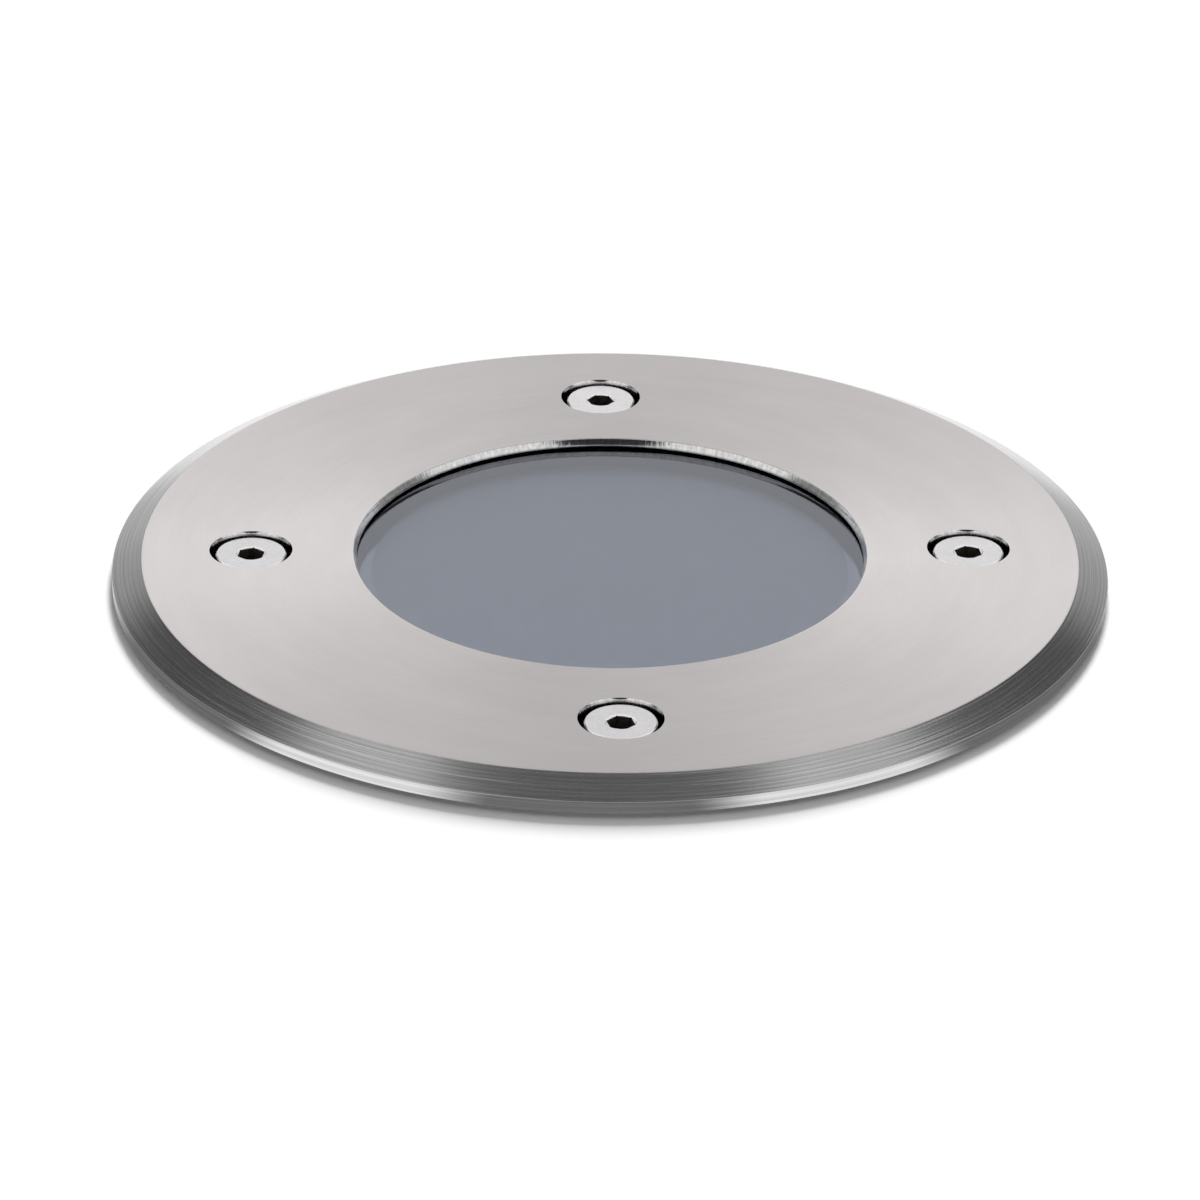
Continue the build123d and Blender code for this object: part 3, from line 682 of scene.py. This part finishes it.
def makeCoverScrew(name, place, turn, v):
    top, rim = v["headTop"], v["rimChamfer"]
    seat = top - v["headHeight"]
    tip = seat - v["length"]
    outline = [
        (0, top), (v["headRadius"] - rim, top), (v["headRadius"], top - rim), (v["headRadius"], seat),
        (v["shank"], seat), (v["shank"], seat - v["plain"]),
    ]
    outline += threadOutline(v["core"], v["shank"], seat - v["plain"], tip + 0.7, v["pitch"], 0.45, 0.94)
    outline += [(v["core"], tip + v["tip"]), (v["core"] - v["tip"], tip), (0, tip)]
    screw = turned(outline, steps=64, name=name, material=screwSteel)
    bottom = top - v["socketDepth"]
    corner = v["socketFlats"] / sqrt(3)
    point = [(0, bottom - v["socketPoint"]), (corner * 0.86, bottom + 0.02), (0, bottom + 0.02)]
    chamfer = v["socketChamfer"]
    wide, inner = corner + chamfer * 0.55, top - chamfer
    mouth = [(0, inner), (wide - chamfer, inner), (wide + 0.5, top + 0.5), (0, top + 0.5)]
    carve(screw, [
        hexPrism("socketCutter", v["socketFlats"], bottom, top + 1, turn=radians(turn)),
        turned(point, steps=48), turned(mouth, steps=64),
    ])
    # the socket's walls and floor below the set height take the dark painted socket shade
    screw.data.materials.append(paintedSocketShade)
    for polygon in screw.data.polygons:
        centre = polygon.center / mm
        inSocket = centre.xy.length < corner and seat < centre.z < v["shadeTop"]
        polygon.material_index = int(inSocket and polygon.normal.z > -0.1)
    screw.data.transform(Matrix.Translation((place[0] * mm, place[1] * mm, 0)))
    return screw


for side, place in zip(("Right", "Back", "Left", "Front"), onCircle(faceRing["screwCircle"], 4)):
    screw = makeCoverScrew("coverScrew" + side, place, coverScrew["turns"][side], coverScrew)
    fit(screw, "screw_" + side.lower(), side.lower() + "_screw")
print("cover screws cut")


# finishes of the parts below ground
def makeMoulded(name, color, grain, gloss=0.5):
    # spark-eroded grain, with the plastic's flow and a few rubbed places
    material, tree, shader, spot = newMaterial(name, IOR=1.49)
    speckle = noiseOf(tree, spot, grain, 3, 0.6)
    flow = noiseOf(tree, spot, 38, 5, 0.65)
    rubbed = mapRange(tree, noiseOf(tree, spot, 120, 5, 0.7), 0.56, 0.7)
    both = plus(tree, times(tree, speckle, 0.4), times(tree, flow, 0.6))
    dark, light, worn = shades(color, 0.62, 1.4, 1.9)
    base = mixColor(tree, mapRange(tree, both, 0.35, 0.65), dark, light)
    rough = between(tree, flow, gloss - 0.06, gloss + 0.12)
    feed(
        tree, shader, Base_Color=mixColor(tree, times(tree, rubbed, 0.6), base, worn),
        Roughness=mathNode(tree, "SUBTRACT", rough, times(tree, rubbed, 0.12)),
    )
    addBump(tree, shader, speckle, 0.05 * mm, 0.7)
    return material


def makeCastPaint(name, color, insideRadius, insideColor):
    # powder coat: a fine orange peel with finer grit on it, black within a radius
    material, tree, shader, spot = newMaterial(name, IOR=1.5)
    peel = noiseOf(tree, spot, 850, 2, 0.5)
    grit = noiseOf(tree, spot, 4200, 2, 0.6)
    cloud = noiseOf(tree, spot, 45, 4, 0.6)
    paint = mixColor(tree, mapRange(tree, cloud, 0.35, 0.65), *shades(color, 0.84, 1.16))
    radius = vectorNode(tree, "LENGTH", vectorNode(tree, "MULTIPLY", spot, (1, 1, 0)), output=1)
    outside = mapRange(tree, radius, (insideRadius - 0.1) * mm, (insideRadius + 0.1) * mm)
    feed(
        tree, shader, Base_Color=mixColor(tree, outside, insideColor, paint),
        Roughness=between(tree, grit, 0.42, 0.6),
    )
    addBump(tree, shader, plus(tree, peel, times(tree, grit, 0.35)), 0.06 * mm, 0.6)
    return material


def makeMetal(name, color, roughness, grain=1800, relief=0.004, drift=0.12):
    material, tree, shader, spot = newMaterial(name, Metallic=1.0)
    fine = noiseOf(tree, spot, grain, 3, 0.6)
    cloud = noiseOf(tree, spot, 160, 3, 0.6)
    blend = plus(tree, times(tree, fine, 0.5), times(tree, cloud, 0.5))
    feed(
        tree, shader, Roughness=between(tree, blend, roughness - 0.06, roughness + 0.08),
        Base_Color=mixColor(tree, between(tree, cloud, 0, 1), *shades(color, 1 - drift, 1 + drift)),
    )
    addBump(tree, shader, fine, relief * mm, 0.6)
    return material


def makeCeramic(name, color):
    material, tree, shader, spot = newMaterial(name, IOR=1.54)
    body = noiseOf(tree, spot, 420, 4, 0.65)
    specks = mapRange(tree, noiseOf(tree, spot, 2100, 1), 0.68, 0.74)
    base = mixColor(tree, between(tree, body, 0, 1), *shades(color, 0.93, 1))
    feed(
        tree, shader, Roughness=between(tree, body, 0.5, 0.72),
        Base_Color=mixColor(tree, times(tree, specks, 0.35), base, (0.3, 0.26, 0.2)),
    )
    addBump(tree, shader, body, 0.02 * mm, 0.5)
    return material


sleevePlastic = makeMoulded("sleevePlastic", (0.024, 0.024, 0.026), grain=1900)
housingPaint = makeCastPaint("housingPaint", (0.075, 0.076, 0.08), 33, (0.012, 0.012, 0.013))
platedBrass = makeMetal("platedBrass", (0.62, 0.60, 0.56), 0.24)
plainBrass = makeMetal("plainBrass", (0.78, 0.58, 0.28), 0.28)
zincSteel = makeMetal("blackZincSteel", (0.10, 0.10, 0.105), 0.38)
pinSteel = makeMetal("pinSteel", (0.66, 0.65, 0.64), 0.22)
blackAnodised = makeMetal("blackAnodised", (0.022, 0.022, 0.024), 0.45, grain=2600)
mirrorCoat = makeMetal("mirrorCoat", (0.86, 0.86, 0.88), 0.09, grain=900, relief=0.001, drift=0.03)
ivoryNylon = makeMoulded("ivoryNylon", (0.42, 0.385, 0.31), grain=1400, gloss=0.42)
firedCeramic = makeCeramic("firedCeramic", (0.78, 0.75, 0.68))
lampGlass = makeGlass("lampGlass", (0.97, 0.985, 0.985), 1.5, grain=60, relief=0.03)
print("finishes mixed")


# ground sleeve: moulded cup without a floor, ribbed so that the ground grips it
groundSleeve = {
    "collar": 54, "collarInner": 51.3, "collarBottom": -13, "shoulder": 2.5,
    "radius": 51.5, "inner": 49, "step": -9.7, "bottom": -130, "foot": 3, "footInner": 46,
    "ringRibs": (-45, -75, -104), "ribHeight": 2, "ribOut": 53, "ribDraft": 0.4,
    "ribs": 8, "firstRib": 22.5, "uprightOut": 53.98, "uprightWidth": 2.5, "uprightRound": 0.4,
    "bossCircle": 46.5, "bossRadius": 3.6, "bossLength": 14.3, "screwHole": 1.55, "screwDepth": 12,
    "slotWidth": 18, "slotHeight": 24, "slotFrom": 44, "slotTo": 60,
    "edgeRound": 0.35, "steps": 192,
}


def makeGroundSleeve(v):
    radius, step, collar, bottom = v["radius"], v["step"], v["collar"], v["bottom"]
    outline = [
        (v["collarInner"], 0), (collar, 0), (collar, v["collarBottom"]),
        (radius, v["collarBottom"] - v["shoulder"]),
    ]
    draft = v["ribDraft"]
    for height in v["ringRibs"]:
        top, low = height + v["ribHeight"] / 2, height - v["ribHeight"] / 2
        outline += [(radius, top + draft), (v["ribOut"], top - draft / 2)]
        outline += [(v["ribOut"], low + draft / 2), (radius, low - draft)]
    foot = bottom + v["foot"]
    outline += [
        (radius, foot), (collar, foot), (collar, bottom),
        (v["footInner"], bottom), (v["footInner"], foot - 0.5),
        (v["inner"], foot - 0.5), (v["inner"], step), (v["collarInner"], step),
    ]
    bm = bmesh.new()
    lathe(bm, outline, v["steps"])
    roundEdges(bm, sharpEdges(bm, 25, rimEdges(bm)), v["edgeRound"], 2)
    sleeve = meshObject(bm, "groundSleeve", sleevePlastic)
    half = v["uprightWidth"] / 2
    low, high = (radius - 1, -half, foot - 1), (v["uprightOut"], half, v["collarBottom"] - 0.5)
    added = [block(low, high, angle, v["uprightRound"]) for angle in around(v["ribs"], v["firstRib"])]
    places = onCircle(v["bossCircle"], 4, 45)
    added += [rod(v["bossRadius"], step - 0.01 - v["bossLength"], step - 0.01, place) for place in places]
    carve(sleeve, added, "UNION")
    hole, deep = v["screwHole"], step - v["screwDepth"]
    outline = [(0, deep), (hole, deep), (hole, step - 0.5), (hole + 0.8, step + 0.3), (0, step + 0.3)]
    cutters = [turned(outline, place) for place in places]
    half = v["slotWidth"] / 2
    crown = bottom + v["slotHeight"] - half
    for side in (-1, 1):
        near, far = v["slotFrom"] * side, v["slotTo"] * side
        cutters.append(rod(half, near, far, (0, 0, crown), 64, "X"))
        cutters.append(block((min(near, far), -half, bottom - 2), (max(near, far), half, crown)))
    fit(carve(sleeve, cutters), "ground_sleeve")


makeGroundSleeve(groundSleeve)
print("ground sleeve moulded")

# lamp housing: pot, flange with threaded bosses, floor and fins
lampHousing = {
    "spigot": 51, "seat": 36.2, "seatTop": -3.2, "flangeTop": -4.7, "flangeBottom": -9.7,
    "flangeRound": 0.4, "bore": 34.55, "pot": 34.5, "potRound": 0.2, "footChamfer": 2, "mouth": 31.5,
    "chamber": 30, "ledge": -29, "grooveBottom": -26.9, "grooveTop": -25.8, "groove": 32.3,
    "bottom": -100, "floor": 4, "floorGap": 0.05,
    "bossCircle": 43.3, "bossRadius": 5, "bossBottom": -19, "bossChamfer": 0.6,
    "web": 4, "webRound": 0.5, "thread": 2.55, "threadDepth": 13.5, "threadPoint": 0.8,
    "sleeveScrewCircle": 46.5, "countersink": 3.4, "screwHole": 1.7,
    "entryOffset": 14, "entryHole": 8.05, "fixingY": 20, "fixingHole": 1.2, "fixingDepth": 2.5,
    "finCount": 20, "finTop": -26, "finBottom": -92, "finRadius": 45, "finRoot": 2,
    "finTip": 1.7, "finCorner": 1.5, "finRound": 0.3, "steps": 144,
}


def makeHousingPot(v):
    bm = bmesh.new()
    mouth, groove, pot, bottom = v["mouth"], v["groove"], v["pot"], v["bottom"]
    lathe(bm, [
        (v["chamber"], bottom), (v["chamber"], v["ledge"]), (mouth, v["ledge"]), (mouth, v["grooveBottom"]),
        (groove, v["grooveBottom"]), (groove, v["grooveTop"]), (mouth, v["grooveTop"]),
        (mouth, v["seatTop"]), (v["seat"], v["seatTop"]), (v["seat"], v["flangeTop"]),
        (pot, v["flangeTop"]), (pot, bottom + v["footChamfer"]), (pot - v["footChamfer"], bottom),
    ], v["steps"])
    roundEdges(bm, sharpEdges(bm, 25, rimEdges(bm)), v["potRound"], 2)
    fit(meshObject(bm, "housingPot", housingPaint), "housing_pot")


def makeHousingFlange(v):
    bore, spigot, top, bottom = v["bore"], v["spigot"], v["flangeTop"], v["flangeBottom"]
    flange = turned(
        [(bore, top), (spigot, top), (spigot, bottom), (bore, bottom)], steps=v["steps"], closed=True,
        name="housingFlange", material=housingPaint, rims=[(spigot, v["flangeRound"], 3)],
    )
    radius, foot, chamfer, root = v["bossRadius"], v["bossBottom"], v["bossChamfer"], bottom + 1
    boss = [(0, foot), (radius - chamfer, foot), (radius, foot + chamfer), (radius, root), (0, root)]
    low, high = (bore + 0.02, -v["web"] / 2, foot + 0.3), (v["bossCircle"], v["web"] / 2, root)
    thread, deep = v["thread"], top - v["threadDepth"]
    hole = [(0, deep - v["threadPoint"]), (thread, deep), (thread, top - 0.3)]
    hole += [(thread + 0.6, top + 0.3), (0, top + 0.3)]
    added, cutters = [], []
    for angle, place in zip(around(4), onCircle(v["bossCircle"], 4)):
        added += [turned(boss, place, 64), block(low, high, angle, v["webRound"])]
        cutters.append(turned(hole, place))
    narrow, wide = v["screwHole"], v["countersink"]
    hole = [(0, bottom - 1), (narrow, bottom - 1), (narrow, top - wide + narrow)]
    hole += [(wide + 0.3, top + 0.3), (0, top + 0.3)]
    cutters += [turned(hole, place) for place in onCircle(v["sleeveScrewCircle"], 4, 45)]
    carve(flange, added, "UNION")
    fit(carve(flange, cutters), "housing_flange")


def makePotBase(v):
    bottom, top, radius = v["bottom"], v["bottom"] + v["floor"], v["chamber"] - v["floorGap"]
    outline = [(0, bottom), (radius, bottom), (radius, top), (0, top)]
    base = turned(outline, steps=v["steps"], name="potBase", material=housingPaint)
    entries = ((v["entryOffset"], 0), (-v["entryOffset"], 0))
    cutters = [rod(v["entryHole"], bottom - 1, top + 1, place, 72) for place in entries]
    cutters.append(rod(v["fixingHole"], top - v["fixingDepth"], top + 1, (0, v["fixingY"])))
    fit(carve(base, cutters), "pot_base")


def makeCoolingFins(v):
    length, height = v["finRadius"] - v["bore"], v["finTop"] - v["finBottom"]
    middle = (v["bore"] + length / 2, 0, (v["finTop"] + v["finBottom"]) / 2)
    bm = bmesh.new()
    for angle in around(v["finCount"], 180 / v["finCount"]):
        made = bmesh.ops.create_cube(bm, size=1.0)["verts"]
        bmesh.ops.scale(bm, verts=made, vec=(length * mm, v["finRoot"] * mm, height * mm))
        tips = [point for point in made if point.co.x > 0]
        bmesh.ops.scale(bm, verts=tips, vec=(1, v["finTip"] / v["finRoot"], 1))
        # the short edges across the fin's outer end
        corners = [
            e for e in dict.fromkeys(e for point in tips for e in point.link_edges)
            if all(p.co.x > 0 for p in e.verts) and abs(e.verts[0].co.y - e.verts[1].co.y) > 0.5 * mm
        ]
        shift(bm, *middle, verts=made)
        bmesh.ops.rotate(bm, verts=made, matrix=Matrix.Rotation(angle, 3, "Z"))
        roundEdges(bm, corners, v["finCorner"], 3)
    roundEdges(bm, sharpEdges(bm, 60), v["finRound"], 2)
    bmesh.ops.recalc_face_normals(bm, faces=bm.faces)
    fit(meshObject(bm, "coolingFins", housingPaint), "cooling_fins")


makeHousingPot(lampHousing)
makeHousingFlange(lampHousing)
makePotBase(lampHousing)
makeCoolingFins(lampHousing)
print("lamp housing cast")

# rubber between ring and flange, with an eye round each cover screw
flangeGasket = {
    "inner": 36.7, "outer": 41, "bottom": -4.7, "top": -3.7, "circle": 43.3, "eye": 5, "hole": 2.9,
}


def makeFlangeGasket(v):
    inner, outer, bottom, top = v["inner"], v["outer"], v["bottom"], v["top"]
    outline = [(inner, bottom), (outer, bottom), (outer, top), (inner, top)]
    gasket = turned(outline, steps=144, closed=True, name="flangeGasket", material=blackRubber)
    places = onCircle(v["circle"], 4)
    carve(gasket, [rod(v["eye"], bottom, top, place, 64) for place in places], "UNION")
    carve(gasket, [rod(v["hole"], bottom - 1, top + 1, place) for place in places])
    fit(gasket, "flange_gasket", degrees=35)


# countersunk screws with a cross recess, which hold the housing down in the sleeve
sleeveScrew = {
    "circle": 46.5, "top": -4.8, "head": 3, "shank": 1.5, "core": 1.15, "pitch": 1, "length": 12,
    "slot": 0.7, "slotDepth": 1.2, "slotLength": 3.4,
}


def makeSleeveScrews(v):
    head, shank, core, top = v["head"], v["shank"], v["core"], v["top"]
    neck, tip = top - (head - shank + 0.15), top - v["length"]
    outline = [(0, top), (head - 0.2, top), (head, top - 0.15), (shank, neck), (shank, neck - 1)]
    outline += threadOutline(core, shank, neck - 1, tip + 1.2, v["pitch"])
    outline += [(core, tip + 1), (0, tip - 0.5)]
    half, wide = v["slot"] / 2, v["slotLength"] / 2
    low, high = (-wide, -half, -v["slotDepth"]), (wide, half, 0.5)
    parts = []
    for angle, place in zip(around(4, 45), onCircle(v["circle"], 4, 45)):
        screw = turned(outline, place, 32, name="sleeveScrew", material=screwSteel)
        cross = [block(low, high, turn + angle * 0.7, place=(*place, top)) for turn in (0, pi / 2)]
        parts.append(carve(screw, cross))
    bm = bmesh.new()
    for part in parts:
        bm.from_mesh(part.data)
    discard(parts)
    fit(meshObject(bm, "sleeveScrews", screwSteel), "sleeve_screws")


makeFlangeGasket(flangeGasket)
makeSleeveScrews(sleeveScrew)
print("gasket and sleeve screws made")

# cable entries: a gland on the right, a blanking plug on the left
cableEntry = {
    "offset": 14, "flats": 20, "potBottom": -100, "floorTop": -96, "spigotTop": -90,
    "thread": 8, "core": 7.5, "pitch": 1.5, "threadChamfer": 0.5, "threadEnd": -101.5,
    "washer": 1.5, "washerRound": 0.3, "locknut": 4.5,
    "hexTop": -101.5, "hexBottom": -107.5, "cone": -116.5, "bore": 5, "sealRadius": 6.3, "cable": 4.1,
    "capTop": -108.5, "capHex": 7, "nose": -122, "capRadius": 9.4, "capBore": 4.7, "noseRound": 2.5,
    "groove": 0.35, "plugHex": 5, "plugBore": 6, "plugDepth": 8,
}


def hexBar(name, flats, bottom, top, x, topTurned=True, bottomTurned=True):
    # a hexagon whose corners are turned off at one end or both
    bar = hexPrism(name, flats, bottom, top, x, pi / 6, platedBrass)
    flat, corner = flats / 2 - 0.1, flats / sqrt(3) + 0.4
    fall = (corner - flat) * 0.58
    outline = [(0, top)]
    outline += [(flat, top), (corner, top - fall)] if topTurned else [(corner, top)]
    outline += [(corner, bottom + fall), (flat, bottom)] if bottomTurned else [(corner, bottom)]
    outline += [(0, bottom)]
    return carve(bar, [turned(outline, (x, 0), 96)], "INTERSECT")


def makeWashersAndNuts(v):
    thread, half, floorTop, potBottom = v["thread"], v["flats"] / 2, v["floorTop"], v["potBottom"]
    entries = (("gland", v["offset"]), ("plug", -v["offset"]))
    low, inner, rims = potBottom - v["washer"], thread + 0.1, [(half, v["washerRound"], 3)]
    outline = [(inner, low), (half, low), (half, potBottom), (inner, potBottom)]
    for entry, x in entries:
        washer = turned(outline, (x, 0), 96, "Z", True, entry + "Washer", blackRubber, rims)
        fit(washer, entry + "_washer", degrees=35)
    top = floorTop + v["locknut"]
    hole = [
        (0, floorTop - 1), (thread + 0.05, floorTop - 1), (thread + 0.05, top - 0.4),
        (thread + 0.6, top + 0.2), (0, top + 0.2),
    ]
    for entry, x in entries:
        nut = hexBar(entry + "Locknut", v["flats"], floorTop, top, x, bottomTurned=False)
        fit(carve(nut, [turned(hole, (x, 0), 72)]), entry + "_locknut")


def makeCableEntries(v):
    x, flats, thread, core, pitch = (v[key] for key in ("offset", "flats", "thread", "core", "pitch"))
    cone, top, seal = v["cone"], v["spigotTop"], v["sealRadius"]
    # the thread that goes up through the floor, on the gland and on the plug
    start = top - v["threadChamfer"]
    upper = [(0, top), (thread - v["threadChamfer"], top), (thread, start)]
    upper += threadOutline(core, thread, start, v["threadEnd"], pitch)
    upper += [(core, v["hexTop"] - 0.5), (0, v["hexTop"] - 0.5)]
    lower = [(0, v["hexBottom"] + 0.5), (core, v["hexBottom"] + 0.5)]
    lower += threadOutline(core, thread, v["hexBottom"] + 0.3, cone + 0.8, pitch)
    lower += [(core, cone), (0, cone)]
    body = hexBar("glandBody", flats, v["hexBottom"], v["hexTop"], x)
    carve(body, [turned(part, (x, 0), 72) for part in (upper, lower)], "UNION")
    bores = ((v["bore"], top + 2), (seal + 0.1, cone + 9))
    carve(body, [rod(radius, cone - 2, high, (x, 0), 64) for radius, high in bores])
    fit(body, "gland_body")
    # cap nut: hexagon running into a rounded nose with a turned groove
    r, bend, capTop, capBottom = v["capRadius"], v["noseRound"], v["capTop"], v["capTop"] - v["capHex"]
    tip, deep = v["nose"], v["capRadius"] - v["groove"]
    cap = hexBar("glandCap", flats, capBottom, capTop, x)
    nose = [
        (0, capBottom + 1), (r, capBottom + 1), (r, capBottom - 0.6), (deep, capBottom - 0.9),
        (deep, capBottom - 1.5), (r, capBottom - 1.8), (r, tip + bend),
    ]
    for angle in (radians(degrees) for degrees in range(15, 91, 15)):
        nose.append((r - bend + bend * cos(angle), tip + bend - bend * sin(angle)))
    carve(cap, [turned(nose + [(0, tip)], (x, 0), 96)], "UNION")
    bore, room, nut = v["capBore"], seal + 0.1, thread + 0.05
    inside = [
        (0, tip - 1), (bore + 0.4, tip - 1), (bore + 0.4, tip), (bore, tip + 0.4), (bore, cone - 1.9),
        (room, cone - 1.9), (room, cone - 0.3), (nut, cone - 0.3), (nut, capTop + 1), (0, capTop + 1),
    ]
    carve(cap, [turned(inside, (x, 0), 72)])
    fit(cap, "gland_cap")
    # rubber insert that grips the cable
    low, high, cable = cone - 1.5, cone + 8.8, v["cable"]
    outline = [(cable, low), (seal - 1.2, low), (seal, low + 1.2), (seal, high), (cable, high)]
    insert = turned(outline, (x, 0), 72, closed=True, name="glandSeal", material=blackRubber)
    fit(insert, "gland_seal")
    plug = hexBar("entryPlug", flats, v["hexTop"] - v["plugHex"], v["hexTop"], -x, topTurned=False)
    carve(plug, [turned(upper, (-x, 0), 72)], "UNION")
    carve(plug, [rod(v["plugBore"], top - v["plugDepth"], top + 1, (-x, 0), 64)])
    fit(plug, "entry_plug")


makeWashersAndNuts(cableEntry)
makeCableEntries(cableEntry)
print("cable entries made")


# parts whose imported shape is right: a copy is merged and its edges are eased
def easedCopy(node, name, material, body, slotName, offset):
    bm = bmesh.new()
    bm.from_mesh(nodes[node].data)
    bmesh.ops.remove_doubles(bm, verts=bm.verts, dist=1e-6)
    bmesh.ops.dissolve_limit(bm, angle_limit=radians(1), verts=bm.verts, edges=bm.edges)
    if offset:
        roundEdges(bm, sharpEdges(bm, 40), offset, 2)
    fit(meshObject(bm, name, material), node, body)


easedParts = [
    ("terminal_block", "terminalBlock", ivoryNylon, "housing", "terminal_plastic", 0.25),
    ("terminal_screws", "terminalScrews", plainBrass, "housing", "terminal_brass", 0.12),
    ("terminal_fixing", "terminalFixing", screwSteel, "housing", "screw_steel", 0.1),
    ("turntable", "panTurntable", zincSteel, "turntable", "carrier_steel", 0.15),
    ("turntable_clip", "turntableClip", zincSteel, "housing", "carrier_steel", 0.15),
    ("lamp_cradle", "lampCradle", blackAnodised, "cradle", "cradle_black", 0.2),
    ("tilt_pins", "tiltPins", pinSteel, "cradle", "carrier_steel", 0.15),
    ("glare_louvre", "glareLouvre", blackAnodised, "cradle", "cradle_black", 0.0),
    ("lamp_clip", "lampClip", zincSteel, "cradle", "carrier_steel", 0.15),
    ("lamp_base", "lampBase", firedCeramic, "cradle", "ceramic", 0.4),
    ("lamp_holder", "lampHolder", firedCeramic, "cradle", "ceramic", 0.2),
    ("lamp_pins", "lampPins", pinSteel, "cradle", "carrier_steel", 0.0),
    ("holder_contacts", "holderContacts", plainBrass, "cradle", "terminal_brass", 0.1),
    ("lamp_capsule", "lampCapsule", lampGlass, "cradle", "lamp_glass", 0.0),
]
for row in easedParts:
    easedCopy(*row)
print("carrier and connections finished")

# reflector lamp: a faceted mirror bowl with a clear front lens
reflectorLamp = {
    "face": -18, "radius": 24.9, "rim": 22.6, "rimDepth": 3.2, "mouth": 21.3, "mouthDepth": 2.2,
    "lens": 23.6, "lensSeat": -19.1, "lensThick": 1, "lensRound": 0.15, "lensPlay": 0.1,
    "neck": -49, "neckRadius": 8.5, "neckBore": 5.4, "foot": -52,
    # one point that the bowl runs through, outside and inside
    "bowlOut": (18.6, -36.0), "bowlIn": (17.2, -35.2), "facets": 72, "outerRows": 13, "rows": 9,
}


def arcThrough(a, b, c, rows):
    # points on the circle through three points, in order, ends included
    (ax, ay), (bx, by), (cx, cy) = a, b, c
    squares = [x * x + y * y for x, y in (a, b, c)]
    span = 2 * (ax * (by - cy) + bx * (cy - ay) + cx * (ay - by))
    ux = (squares[0] * (by - cy) + squares[1] * (cy - ay) + squares[2] * (ay - by)) / span
    uy = (squares[0] * (cx - bx) + squares[1] * (ax - cx) + squares[2] * (bx - ax)) / span
    first, last = atan2(ay - uy, ax - ux), atan2(cy - uy, cx - ux)
    if last - first > pi:
        last -= 2 * pi
    if first - last > pi:
        last += 2 * pi
    size = hypot(ax - ux, ay - uy)
    turns = [first + (last - first) * i / rows for i in range(rows + 1)]
    return [(ux + size * cos(turn), uy + size * sin(turn)) for turn in turns]


def makeReflectorLamp(v):
    face, neck, seat = v["face"], v["neck"], v["lensSeat"]
    edge, bore, room = face - v["rimDepth"], v["neckBore"], v["lens"] + v["lensPlay"]
    mouth = (v["mouth"], face - v["mouthDepth"])
    outline = arcThrough((v["rim"], edge), v["bowlOut"], (v["neckRadius"], neck), v["outerRows"])
    outline += [(v["neckRadius"], v["foot"]), (bore, v["foot"])]
    outline += arcThrough(mouth, v["bowlIn"], (bore, neck + 0.8), v["rows"])[::-1]
    outline += [(v["mouth"], seat), (room, seat), (room, face), (v["radius"], face), (v["radius"], edge)]
    bowl = turned(outline, steps=v["facets"], closed=True, name="lampReflector", material=mirrorCoat)
    smoothBy(bowl, 20)
    # the steps of the inner mirror stay flat, so that it breaks into facets
    for polygon in bowl.data.polygons:
        centre = polygon.center / mm
        inMirror = centre.xy.length < v["mouth"] and neck < centre.z < face - 3
        if inMirror and polygon.normal.xy.dot(centre.xy) < 0:
            polygon.use_smooth = False
    fit(bowl, "lamp_reflector", "cradle", degrees=None)
    radius, top = v["lens"], seat + v["lensThick"]
    outline, rims = [(0, seat), (radius, seat), (radius, top), (0, top)], [(radius, v["lensRound"], 2)]
    lens = turned(outline, steps=96, name="lampLens", material=lampGlass, rims=rims)
    fit(lens, "lamp_lens", "cradle")


makeReflectorLamp(reflectorLamp)
print("lamp made")
